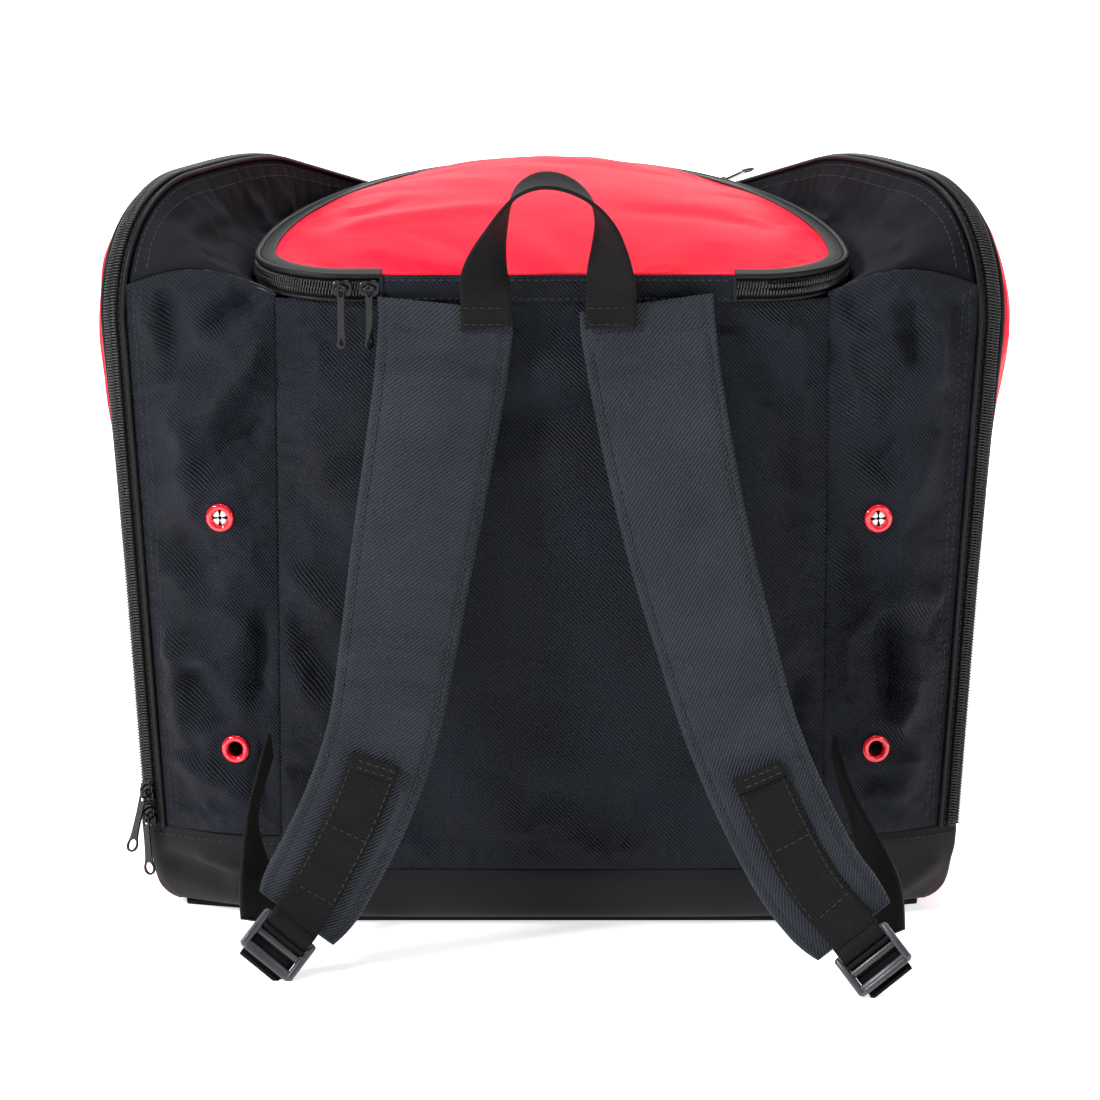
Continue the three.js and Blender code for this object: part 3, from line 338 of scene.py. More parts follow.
def ring_mesh(name, rings, material, closed=False, uvs=None):
    """A closed body through rings of points, each with the same count."""
    rings = np.asarray(rings)
    n, m = rings.shape[:2]
    index = np.arange(n * m).reshape(n, m)
    nxt = np.roll(index, -1, axis=1)
    rows = n if closed else n - 1
    upper = np.roll(index, -1, axis=0)[:rows]
    upper_next = np.roll(nxt, -1, axis=0)[:rows]
    quads = np.stack([index[:rows], nxt[:rows], upper_next, upper], -1).reshape(-1, 4)
    faces = quads.tolist()
    if not closed:
        faces += [index[0, ::-1].tolist(), index[-1].tolist()]
    points = rings.reshape(-1, 3)
    volume = 0.0
    for k in range(1, 3):
        corner = points[quads[:, [0, k, k + 1]]]
        volume += np.einsum("ij,ij->i", corner[:, 0], np.cross(corner[:, 1], corner[:, 2])).sum()
    if volume < 0:
        faces = [face[::-1] for face in faces]
    return add_mesh(name, points, faces, material, uvs=uvs)


def frames_along(points, hint):
    """Directions along, across and away from a line, with across as square to the hint as it can be."""
    along = unit(np.gradient(points, axis=0))
    away = unit(hint - along * np.sum(hint * along, axis=1, keepdims=True))
    return along, np.cross(along, away), away


def tube(name, points, radius, material, hint=(0, 0, 1), sides=10):
    points = np.asarray(points, float)
    _, across, away = frames_along(points, np.broadcast_to(np.asarray(hint, float), points.shape))
    turn = full_turn(sides)
    ring = across[:, None] * np.cos(turn)[None, :, None] + away[:, None] * np.sin(turn)[None, :, None]
    return ring_mesh(name, points[:, None] + radius * ring, material)


def join_meshes(name, parts, material):
    """One mesh of many small closed bodies, each a pair of points and faces."""
    vertices, faces, start = [], [], 0
    for points, part_faces in parts:
        vertices.append(points)
        faces += [[i + start for i in face] for face in part_faces]
        start += len(points)
    return add_mesh(name, np.concatenate(vertices), faces, material)


def rod_faces(n, m):
    """The faces of a closed rod of n rings, each of m points."""
    faces = []
    for i in range(n - 1):
        for k in range(m):
            after = (k + 1) % m
            faces.append([i * m + k, i * m + after, (i + 1) * m + after, (i + 1) * m + k])
    return [*faces, list(range(m))[::-1], [(n - 1) * m + k for k in range(m)]]


def attach(piece, body, slot, *nodes):
    """Puts a piece on the body it rides on and hides the nodes it stands for; slot is not used."""
    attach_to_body(piece, body)
    if nodes:
        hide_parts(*nodes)
    return piece


STITCH_LONG = 2.7
STITCH_GAP = 1.1
STITCH_HALF_WIDE = 0.32
STITCH_HIGH = 0.34
STITCH_SHAPE = [(-0.5, 0.35), (-0.25, 1.0), (0.25, 1.0), (0.5, 0.35)]  # place along it, and size
STITCH_ROUND = [(-1, -0.4), (-0.7, 0.7), (0, 1.0), (0.7, 0.7), (1, -0.4)]


def stitch_row(name, points, away, body):
    """Stitches along a line: short low thread humps that stand on the cloth."""
    line = Line(points)
    lift = Line(np.concatenate([points, away], axis=1))
    count = max(2, int(line.length / (STITCH_LONG + STITCH_GAP)))
    starts = np.arange(count) * (STITCH_LONG + STITCH_GAP) / line.length
    rings = []
    for place, size in STITCH_SHAPE:
        share = np.clip(starts + (0.5 + place) * STITCH_LONG / line.length, 0, 1)
        both = lift.read(share)
        up = unit(both[:, 3:])
        side = unit(np.cross(line.direction(share), up))
        middle = both[:, :3]
        wide, high = STITCH_HALF_WIDE * size, STITCH_HIGH * size
        ring = [middle + side * (a * wide) + up * (b * high) for a, b in STITCH_ROUND]
        rings.append(np.stack(ring, 1))
    points = np.stack(rings, 1)
    n, m = len(STITCH_SHAPE), len(STITCH_ROUND)
    one = rod_faces(n, m)
    faces = []
    for s in range(count):
        faces += [[i + s * n * m for i in face] for face in one]
    attach(add_mesh(name, points.reshape(-1, 3), faces, THREAD), body, "webbing")


# --- materials ---


class Surface:
    """A Principled material that is put together node by node."""

    def __init__(self, name, roughness, **values):
        self.material = bpy.data.materials.new(name)
        self.material.use_nodes = True
        self.tree = self.material.node_tree
        self.shader = self.tree.nodes["Principled BSDF"]
        self.shader.inputs["Roughness"].default_value = roughness
        for socket, value in values.items():
            self.shader.inputs[socket.replace("_", " ")].default_value = value

    def node(self, kind, inputs=None, **settings):
        made = self.tree.nodes.new(kind)
        for key, value in settings.items():
            setattr(made, key, value)
        for key, value in (inputs or {}).items():
            if isinstance(value, bpy.types.NodeSocket):
                self.tree.links.new(value, made.inputs[key])
            else:
                made.inputs[key].default_value = value
        return made

    def link(self, source, socket):
        self.tree.links.new(source, self.shader.inputs[socket])

    def math(self, operation, a, b=0.0):
        return self.node("ShaderNodeMath", {0: a, 1: b}, operation=operation).outputs[0]

    def weave_place(self):
        return self.node("ShaderNodeUVMap", uv_map="weave").outputs[0]

    def solid_place(self):
        return self.node("ShaderNodeTexCoord").outputs["Object"]

    def threads(self, across, up, pitch):
        """A wave from -1 to 1 over the weave, in the direction (across, up), one thread each pitch."""
        turn = 2 * math.pi / (pitch * UV_PER_MM) / math.hypot(across, up)
        inputs = {0: self.weave_place(), 1: (across * turn, up * turn, 0)}
        dot = self.node("ShaderNodeVectorMath", inputs, operation="DOT_PRODUCT")
        return self.math("SINE", dot.outputs["Value"])

    def noise(self, size_mm, detail):
        inputs = {"Vector": self.solid_place(), "Scale": 1 / (size_mm * MM), "Detail": detail}
        return self.node("ShaderNodeTexNoise", inputs).outputs["Fac"]

    def mix(self, factor, dark, light):
        inputs = {0: factor, 6: (*dark, 1), 7: (*light, 1)}
        return self.node("ShaderNodeMix", inputs, data_type="RGBA").outputs[2]

    def bump(self, height, depth_mm, strength=1.0, under=None):
        inputs = {"Height": height, "Distance": depth_mm * MM, "Strength": strength}
        if under is not None:
            inputs["Normal"] = under
        return self.node("ShaderNodeBump", inputs).outputs[0]


def shade(colour, by):
    return tuple(channel * by for channel in colour)


def twill(name, colour, pitch=1.6, roughness=0.62, contrast=0.75):
    """Diagonal weave: ribs that lean down to the right, broken up by the threads across them."""
    s = Surface(name, roughness, Sheen_Weight=0.015, Sheen_Roughness=0.4, Specular_IOR_Level=0.14)
    ribs = s.threads(1, 1, pitch)
    crossing = s.threads(1, -1, pitch * 0.62)
    height = s.math("ADD", s.math("MULTIPLY", ribs, 0.7), s.math("MULTIPLY", crossing, 0.3))
    wear = s.noise(34, 4.0)
    fleck = s.noise(0.9, 1.0)
    tone = s.math("ADD", s.math("MULTIPLY", height, 0.42), s.math("MULTIPLY", wear, 0.7))
    tone = s.math("ADD", tone, s.math("MULTIPLY", fleck, 0.3))
    s.link(s.mix(tone, shade(colour, 1 - contrast), shade(colour, 1 + contrast)), "Base Color")
    crumple = s.bump(s.noise(11, 3.0), 0.5, 0.6)
    s.link(s.bump(height, 0.3, 1.0, crumple), "Normal")
    return s.material


def plain_weave(name, colour, pitch, roughness, depth=0.08, crumple_mm=9, crumple_depth=0.4, **values):
    """Over-and-under weave under a smooth coating, with faint crumples."""
    s = Surface(name, roughness, **values)
    over = s.math("MULTIPLY", s.threads(1, 0, pitch), s.threads(0, 1, pitch))
    wear = s.noise(27, 4.0)
    tone = s.math("ADD", s.math("MULTIPLY", over, 0.12), wear)
    s.link(s.mix(tone, shade(colour, 0.78), shade(colour, 1.2)), "Base Color")
    crumple = s.bump(s.noise(crumple_mm, 3.0), crumple_depth, 0.6)
    s.link(s.bump(over, depth, 0.7, crumple), "Normal")
    return s.material


def ribbed_webbing(name, colour, pitch=1.5):
    """Webbing: ribs across it, and a fine herringbone between them."""
    s = Surface(name, 0.7, Sheen_Weight=0.01, Sheen_Roughness=0.5, Specular_IOR_Level=0.1)
    ribs = s.threads(0, 1, pitch)
    ends = s.threads(1, 0, pitch * 0.55)
    height = s.math("ADD", s.math("MULTIPLY", ribs, 0.6), s.math("MULTIPLY", ends, 0.4))
    tone = s.math("ADD", s.math("MULTIPLY", height, 0.2), s.noise(12, 4.0))
    s.link(s.mix(tone, shade(colour, 0.6), shade(colour, 1.5)), "Base Color")
    s.link(s.bump(height, 0.16, 0.8, s.bump(s.noise(5, 2.0), 0.25, 0.5)), "Normal")
    return s.material


def moulded_plastic(name, colour):
    s = Surface(name, 0.36, Specular_IOR_Level=0.55)
    s.link(s.mix(s.noise(6, 4.0), shade(colour, 0.85), shade(colour, 1.2)), "Base Color")
    scuffs = s.node("ShaderNodeMapRange", {"Value": s.noise(3.0, 5.0), "To Min": 0.28, "To Max": 0.5})
    s.link(scuffs.outputs[0], "Roughness")
    s.link(s.bump(s.noise(0.35, 2.0), 0.03, 0.5), "Normal")
    return s.material


def enamelled_metal(name, colour, roughness, coat=0.15):
    """Paint over die-cast metal: glossy, with fine scratches and slightly uneven."""
    s = Surface(name, roughness, Coat_Weight=coat, Coat_Roughness=0.08, Specular_IOR_Level=0.3)
    s.link(s.mix(s.noise(2.4, 5.0), shade(colour, 0.8), shade(colour, 1.15)), "Base Color")
    scratch = s.node("ShaderNodeMapRange", {"Value": s.noise(0.7, 4.0)})
    scratch.inputs["To Min"].default_value = roughness * 0.7
    scratch.inputs["To Max"].default_value = roughness * 1.6
    s.link(scratch.outputs[0], "Roughness")
    s.link(s.bump(s.noise(1.2, 2.0), 0.04, 0.5), "Normal")
    return s.material


def nylon(name, colour, roughness=0.34):
    s = Surface(name, roughness, Specular_IOR_Level=0.5)
    s.link(s.mix(s.noise(1.6, 3.0), shade(colour, 0.75), shade(colour, 1.3)), "Base Color")
    s.link(s.bump(s.noise(0.5, 2.0), 0.04, 0.5), "Normal")
    return s.material


def foam_skin(name, colour):
    s = Surface(name, 0.9)
    s.link(s.mix(s.noise(1.2, 3.0), shade(colour, 0.8), shade(colour, 1.2)), "Base Color")
    s.link(s.bump(s.noise(0.8, 3.0), 0.12, 0.8), "Normal")
    return s.material


CANVAS = twill("canvas_twill", (0.0074, 0.0088, 0.0140), roughness=0.5)
# The pods' crowns are the same canvas as their rear panels. This matt copy in its own colour is painted
# shade, standing in for the shade on their upturned tops.
CROWN_CANVAS_PAINTED_SHADE = plain_weave("matt_crown_canvas_painted_shade", (0.0088, 0.0095, 0.0122), 0.9, 0.75, Specular_IOR_Level=0.05)
STRAP_CLOTH = twill("strap_twill", (0.020, 0.0235, 0.0305), contrast=0.6)
BASE_CLOTH = plain_weave(
    "coated_base_cloth", (0.0075, 0.0077, 0.0092), 0.8, 0.6, Sheen_Weight=0.02, Specular_IOR_Level=0.14
)
LINING = plain_weave("grey_lining", (0.045, 0.047, 0.052), 0.9, 0.7)
RED = plain_weave(
    "red_coated_cloth", (0.80, 0.001, 0.024), 0.75, 0.46, 0.03, 14, 0.5, Specular_IOR_Level=0.05
)
TAPE_CLOTH = plain_weave("zip_tape_weave", (0.008, 0.0078, 0.0082), 0.6, 0.6, Specular_IOR_Level=0.08)
PIPING_CLOTH = plain_weave("piping_weave", (0.008, 0.0078, 0.0082), 0.9, 0.45, Specular_IOR_Level=0.14)
COIL_NYLON = nylon("zip_coil_nylon", (0.016, 0.016, 0.017))
THREAD = nylon("black_thread", (0.007, 0.0073, 0.0083), 0.6)
WEBBING_CLOTH = ribbed_webbing("black_webbing", (0.0062, 0.0058, 0.0062))
BUCKLE_PLASTIC = moulded_plastic("buckle_plastic", (0.030, 0.033, 0.039))
BLACK_METAL = enamelled_metal("black_slider_enamel", (0.004, 0.004, 0.0045), 0.2)
RED_ENAMEL = enamelled_metal("red_eyelet_enamel", (0.80, 0.006, 0.02), 0.12, 1.0)
PALE_METAL = enamelled_metal("pale_eyelet_petals", (0.86, 0.85, 0.84), 0.3)
FOAM = foam_skin("grey_foam", (0.07, 0.07, 0.075))
BOARD = moulded_plastic("black_base_board", (0.02, 0.02, 0.021))

# --- the shape of the bag, from the same driving sizes as the frame ---

TAPE_WIDE = 7.0
SEAM = 0.5
DOOR_SEAM = 2.0
FOLD_SEAM = 3.5
BACK_Y = -157.0
CORNER_CENTRE = np.array((98.0, -112.0, 325.8))
CORNER_RADIUS = 45.0
CORNER_TILT = math.atan(0.13)
RIM_SIDE = (143, -12, 339)
RIM_NOSE = (80, 150, 350)
RIM_FRONT = (0, 150, 348)
BAND_LEFT = 82.0
BAND_RIGHT = 88.0
LID_TAPE = 5.5
LID_DOME = 18.0
LID_CENTRE = np.array((0.0, 10.0, 344.0))
CREASE_TURN = 0.813
DIVIDER_TURN = 1.1
NOSE_AT = 0.17
CREASE = np.array((134.0, -146.0))
ZIP_REAR = np.array((216.0, -125.0))
ZIP_FRONT = np.array((70.0, 145.0))
ZIP_FOOT_Z = 45.0
ZIP_REAR_TOP_Z = 300.0
ZIP_LEAN = 12.0
ZIP_FOOT_REAR = 10.0
ZIP_FOOT_FRONT = 302.0
SHOULDER_RADIUS = 50.0
CROWN_START = np.array((152.0, 367.0))
CROWN_SLOPE = math.radians(-13.16)
CROWN_TOP = (62, 367)
DOOR_BULGE = 57.0
DOOR_ROUND = 1.7
DOOR_ROUND_Z = 200.0
REAR_BULGE = 6.0
REAR_TOP_Z = 318.0
REAR_TOP_RISE = 10.0
GUSSET_DENT = 7.0
BAND_FOOT_Z = 2.2
REAR_BAND_TOP_Z = 31.0
POD_CORNER_INSET = 20.0
POD_CORNER_OUT = 14.0
POD_SIDE_INSET = 34.0
CREASE_INSET = 20.0
CENTRE_INSET = 16.0
FLOOR_CLEAR = 4.5  # the floor panel and its board lie below this
BAG_MIDDLE = np.array((0.0, -20.0, 180.0))

POD_ALONG = unit(ZIP_FRONT - ZIP_REAR)
POD_OUT = np.array((POD_ALONG[1], -POD_ALONG[0]))
POD_LENGTH = float(np.linalg.norm(ZIP_FRONT - ZIP_REAR))


def pod_point(along, out, up):
    x = ZIP_REAR[0] + along * POD_ALONG[0] + out * POD_OUT[0]
    y = ZIP_REAR[1] + along * POD_ALONG[1] + out * POD_OUT[1]
    return points_at(x, y, up)


POD_MIDDLE = pod_point(POD_LENGTH / 2, -30.0, 190.0)


def low_share(up):
    return np.maximum(0, (ZIP_REAR_TOP_Z - up) / (ZIP_REAR_TOP_Z - ZIP_FOOT_Z))


def plane_at(up):
    return -ZIP_LEAN * low_share(up)


def rim_corner(turn):
    """The rim's rear corner, from 0 at the rear line to a quarter turn at the side."""
    back = CORNER_RADIUS * np.cos(turn)
    x = CORNER_CENTRE[0] + CORNER_RADIUS * np.sin(turn)
    y = CORNER_CENTRE[1] - back * math.cos(CORNER_TILT)
    return points_at(x, y, CORNER_CENTRE[2] - back * math.sin(CORNER_TILT))


def make_rim(rear_x):
    front = bezier([RIM_FRONT, RIM_NOSE, RIM_SIDE, rim_corner(np.array(math.pi / 2))], 200)
    corner = rim_corner(np.linspace(math.pi / 2, 0, 80))
    rear = corner[-1].copy()
    rear[0] = rear_x
    return Line(np.concatenate([front, corner, rear[None]])), Line(front), Line(corner)


RIM, RIM_FRONT_CURVE, RIM_CORNER_CURVE = make_rim(0.0)
RIM_LEFT = make_rim(BAND_LEFT)[0]
RIM_RIGHT = make_rim(BAND_RIGHT)[0]


def rim_at(around, left=RIM, right=RIM):
    """The rim round the bag: -1 and 1 are its two rear ends, and 0 is the front."""
    around = np.asarray(around, float)
    reach = np.abs(around)
    point = np.where(around[..., None] < 0, left.read(reach), right.read(reach))
    point[..., 0] *= np.where(around < 0, -1, 1)
    return point


def rim_outward(around, left=RIM, right=RIM):
    step = 0.002
    after, before = np.minimum(around + step, 1), np.maximum(around - step, -1)
    ahead = rim_at(after, left, right) - rim_at(before, left, right)
    return unit(points_at(-ahead[..., 1], ahead[..., 0], 0))


def make_zip_line():
    """The pod's zip, along its plane and up: from its rear foot over the crown to its front foot."""
    slope = np.array((math.cos(CROWN_SLOPE), math.sin(CROWN_SLOPE)))
    centre_x = POD_LENGTH - SHOULDER_RADIUS
    reach = (centre_x - CROWN_START[0] - SHOULDER_RADIUS * slope[1]) / slope[0]
    crown_end = CROWN_START + slope * reach
    centre_z = crown_end[1] - SHOULDER_RADIUS * slope[0]
    rear_top = (0.0, ZIP_REAR_TOP_Z)
    turn = np.linspace(math.pi / 2 + CROWN_SLOPE, 0, 60)
    shoulder = np.stack([np.cos(turn), np.sin(turn)], -1) * SHOULDER_RADIUS + (centre_x, centre_z)
    parts = [
        np.array([(ZIP_FOOT_REAR, ZIP_FOOT_Z), rear_top]),
        bezier([rear_top, (-1, 335), (22, 364), CROWN_TOP], 120),
        bezier([CROWN_TOP, (92, 369.3), CROWN_START - 26 * slope, CROWN_START], 80),
        np.array([CROWN_START, crown_end]),
        shoulder,
        np.array([shoulder[-1], (ZIP_FOOT_FRONT, ZIP_FOOT_Z)]),
    ]
    ends = np.cumsum([Line(part).length for part in parts])
    return Line(np.concatenate(parts)), ends / ends[-1], crown_end, slope


ZIP, ZIP_ENDS, CROWN_END, SLOPE = make_zip_line()
REAR_LINE_END = ZIP_ENDS[0]
SHOULDER_END = ZIP_ENDS[4]
GUSSET_START = REAR_LINE_END + (REAR_TOP_Z - ZIP_REAR_TOP_Z) / ZIP.length
SHOULDER_SHARE = (SHOULDER_END - GUSSET_START) / (1 - GUSSET_START)


def zip_at(share, out):
    point = ZIP.read(share)
    return pod_point(point[..., 0], plane_at(point[..., 1]) + out, point[..., 1])


def foot_share(up, top):
    down = np.clip((top - up) / (top - BAND_FOOT_Z + 0.8), 0, 1)
    return 1 - np.sqrt(1 - down * down)


def gusset_seam(f):
    rim_share = np.minimum(f / SHOULDER_SHARE, 1)
    drop = np.maximum(0, (f - SHOULDER_SHARE) / (1 - SHOULDER_SHARE))
    nose = NOSE_AT * RIM_FRONT_CURVE.length
    rear = RIM_FRONT_CURVE.length + RIM_CORNER_CURVE.length - CORNER_RADIUS * CREASE_TURN
    share = lerp(nose, rear, 1 - rim_share) / RIM.length
    point = RIM.read(share) + FOLD_SEAM * rim_outward(share)
    point[..., 2] = lerp(point[..., 2] - LID_TAPE + 0.6, ZIP_FOOT_Z + SEAM, drop)
    return point


def pod_gusset(f, g):
    edge = zip_at(lerp(GUSSET_START, 1, f), -TAPE_WIDE - 1.2)
    point = lerp(gusset_seam(f), edge, g[..., None])
    start = 1 - smooth(f, 0, 0.16)
    crown = smooth(f, 0, 0.16) * (1 - smooth(f, 0.45, SHOULDER_SHARE))
    belly = np.sin(math.pi * g)
    point[..., 2] += (REAR_TOP_RISE * start - GUSSET_DENT * crown) * belly
    point[..., 1] -= REAR_BULGE * start * belly
    return point


def rear_panel(f, g):
    top = pod_gusset(np.zeros_like(f), f)[..., 2] - 0.3
    up = lerp(ZIP_FOOT_Z + SEAM, top, g)
    edge = pod_point(ZIP_FOOT_REAR * low_share(up), plane_at(up) - TAPE_WIDE - SEAM, up)
    crease = points_at(CREASE[0], CREASE[1], up)
    point = lerp(crease, edge, f[..., None])
    point[..., 1] -= REAR_BULGE * np.sin(math.pi * f)
    return point


def divider(f, g):
    rear = RIM_FRONT_CURVE.length + RIM_CORNER_CURVE.length - CORNER_RADIUS * DIVIDER_TURN
    share = lerp(rear, NOSE_AT * RIM_FRONT_CURVE.length + SEAM, f) / RIM.length
    point = RIM.read(share)
    foot = FLOOR_CLEAR + 1.5 + 16 * np.abs(2 * f - 1) ** 6
    point[..., 2] = lerp(foot, point[..., 2] - LID_TAPE + SEAM, g)
    return point


def pod_side(f, up, rise):
    turn = (1 - np.cos(math.pi * f)) / 2
    rear = ZIP_FOOT_REAR * low_share(up)
    along = lerp(rear, POD_LENGTH - (POD_LENGTH - ZIP_FOOT_FRONT) * low_share(up), turn)
    belly = np.sin(math.pi * np.clip(f, 0, 1)) ** DOOR_ROUND
    stand = TAPE_WIDE + DOOR_SEAM + (DOOR_BULGE - TAPE_WIDE) * belly * rise
    inset = foot_share(up, ZIP_FOOT_Z)
    corner = POD_CORNER_INSET * inset * np.cos(math.pi * f)
    under = lerp(POD_CORNER_OUT, POD_SIDE_INSET, belly) * inset
    return pod_point(along + corner, plane_at(up) + stand - under, up)


def boot_door(f, g):
    foot = pod_side(f, np.full_like(f, ZIP_FOOT_Z), 0)
    turn = (1 - np.cos(math.pi * f)) / 2
    crown = ZIP.read(lerp(REAR_LINE_END, SHOULDER_END, turn))
    upper = np.maximum(0, g - 0.5) * math.pi
    straight = lerp(ZIP_FOOT_Z, DOOR_ROUND_Z, np.minimum(1, 2 * g))
    up = np.where(g < 0.5, straight, lerp(DOOR_ROUND_Z, crown[..., 1], np.sin(upper)))
    start = pod_point(0.0, 0.0, 0.0)
    foot_along = (foot - start)[..., :2] @ POD_ALONG
    along = lerp(foot_along, crown[..., 0], (up - ZIP_FOOT_Z) / (crown[..., 1] - ZIP_FOOT_Z))
    rise = np.cos(upper) * np.sin(math.pi * f) ** DOOR_ROUND * (DOOR_BULGE - TAPE_WIDE)
    return pod_point(along, plane_at(up) + TAPE_WIDE + 1.2 + rise, up)


SILL_SHARE = 0.16  # the part of the skin that is the fixed sill


def door_and_sill(f, g):
    """The red side skin: from under the bag's foot up to the zip's crown, as one cloth."""
    up = lerp(BAND_FOOT_Z, ZIP_FOOT_Z, np.clip(g / SILL_SHARE, 0, 1))
    sill = pod_side(f, up, 1)
    door = boot_door(f, np.clip((g - SILL_SHARE) / (1 - SILL_SHARE), 0, 1))
    return np.where((g < SILL_SHARE)[..., None], sill, door)


def pod_base_band(f, g):
    up = lerp(ZIP_FOOT_Z + 0.4, BAND_FOOT_Z, g)
    crease_y = CREASE[1] + CREASE_INSET * foot_share(up, ZIP_FOOT_Z)
    crease = points_at(CREASE[0], crease_y, up)
    corner = pod_side(np.zeros_like(up), up, 1)
    corner[..., :2] -= 2 * SEAM * POD_OUT
    point = lerp(crease, corner, f[..., None])
    point[..., 1] -= REAR_BULGE * np.sin(math.pi * f) * (1 - foot_share(up, ZIP_FOOT_Z))
    return point


BACK_TURN = 11.0  # how far the back turns in at its side creases
BACK_TUCK = 1.0  # and how far it runs on behind them


def back_across(f):
    x = lerp(-CREASE[0] - BACK_TUCK, CREASE[0] + BACK_TUCK, f)
    return x, x / CREASE[0]


def back_panel(f, g):
    x, across = back_across(f)
    y = BACK_Y + BACK_TURN * across**6 - 3 * (1 - across * across) * np.sin(math.pi * g)
    return points_at(x, y, lerp(REAR_BAND_TOP_Z + 0.2, 313.8, g))


def rear_base_band(f, g):
    up = lerp(REAR_BAND_TOP_Z, BAND_FOOT_Z, g)
    x, across = back_across(f)
    inset = lerp(CENTRE_INSET, CREASE_INSET - BACK_TURN, across**6) * foot_share(up, REAR_BAND_TOP_Z)
    return points_at(x, BACK_Y + BACK_TURN * across**6 + inset, up)


def nose_point(f, up, inset):
    around = lerp(-1, 1, f) * NOSE_AT * 1.01
    point = RIM_FRONT_CURVE.read(np.abs(around))
    point[..., 0] *= np.where(around < 0, -1, 1)
    point[..., 1] -= inset
    if up is not None:
        point[..., 2] = up
    return point


def front_panel(f, g):
    point = nose_point(f, None, 0)
    point[..., 2] = lerp(ZIP_FOOT_Z - SEAM, point[..., 2] - LID_TAPE + 1, g)
    return point


def front_base_band(f, g):
    up = lerp(ZIP_FOOT_Z - SEAM, BAND_FOOT_Z, g)
    return nose_point(f, up, CREASE_INSET * foot_share(up, ZIP_FOOT_Z))


LID_EDGE_INSET = 2.0
LID_SINK = 5.0  # the cloth sags this far below the stiff dome at its middle
LID_RIGHT_SINK = 4.0  # and this much more on its right half


def make_lid_outline():
    around = np.linspace(-1, 1, 721)[:-1]
    rim = rim_at(around)
    rim[:, 2] += LID_TAPE + SEAM
    spread = rim - LID_CENTRE
    angle = np.arctan2(spread[:, 1], spread[:, 0])
    order = np.argsort(angle)
    reach = np.linalg.norm(spread[:, :2], axis=1)
    return angle[order], reach[order], rim[order, 2]


LID_ANGLE, LID_REACH, LID_RIM_Z = make_lid_outline()


def lid_height(x, y):
    spread_x, spread_y = x - LID_CENTRE[0], y - LID_CENTRE[1]
    angle = np.arctan2(spread_y, spread_x)
    reach = np.interp(angle, LID_ANGLE, LID_REACH, period=2 * math.pi)
    rim_z = np.interp(angle, LID_ANGLE, LID_RIM_Z, period=2 * math.pi)
    share = np.clip(np.hypot(spread_x, spread_y) / reach, 0, 1)
    sink = LID_SINK * (1 - share) + LID_RIGHT_SINK * smooth(x, 0, 110) * (1 - share**2)
    return lerp(LID_CENTRE[2], rim_z, share) + LID_DOME * (1 - share**1.8) - sink


def lid_top(f, g):
    """The lid, in rows across the bag from the rear line to the nose."""
    rear = (RIM_FRONT_CURVE.length + RIM_CORNER_CURVE.length) / RIM.length
    edge = RIM.read(lerp(rear, 0.012, g))
    x = lerp(-1, 1, f) * (edge[..., 0] - LID_EDGE_INSET)
    y = edge[..., 1] + LID_EDGE_INSET * (1 - 2 * smooth(g, 0.2, 0.9))
    return points_at(x, y, lid_height(x, y))


# --- cloth: slack panels are pinned at their seams and settle into folds ---

SIM_FRAMES = 22
SIM_STEP_MM = 4.5
CLOTH_SETTINGS = {
    "quality": 6,
    "mass": 0.25,
    "tension_stiffness": 18,
    "compression_stiffness": 18,
    "shear_stiffness": 8,
    "bending_stiffness": 0.6,
    "air_damping": 2.0,
    "vertex_group_mass": "seams",
    "use_pressure": True,
}


def surface_grid(surface, columns, rows):
    f, g = np.meshgrid(np.linspace(0, 1, columns + 1), np.linspace(0, 1, rows + 1), indexing="ij")
    return surface(f, g)


def resample(grid, columns, rows):
    """A grid of values read at (columns + 1) by (rows + 1) even places."""
    n, m = grid.shape[:2]
    a = np.linspace(0, n - 1, columns + 1)
    b = np.linspace(0, m - 1, rows + 1)
    i, j = np.minimum(a.astype(int), n - 2), np.minimum(b.astype(int), m - 2)
    s, t = (a - i)[:, None, None], (b - j)[None, :, None]
    corner = grid[i][:, j], grid[i + 1][:, j], grid[i][:, j + 1], grid[i + 1][:, j + 1]
    return (1 - t) * ((1 - s) * corner[0] + s * corner[1]) + t * ((1 - s) * corner[2] + s * corner[3])


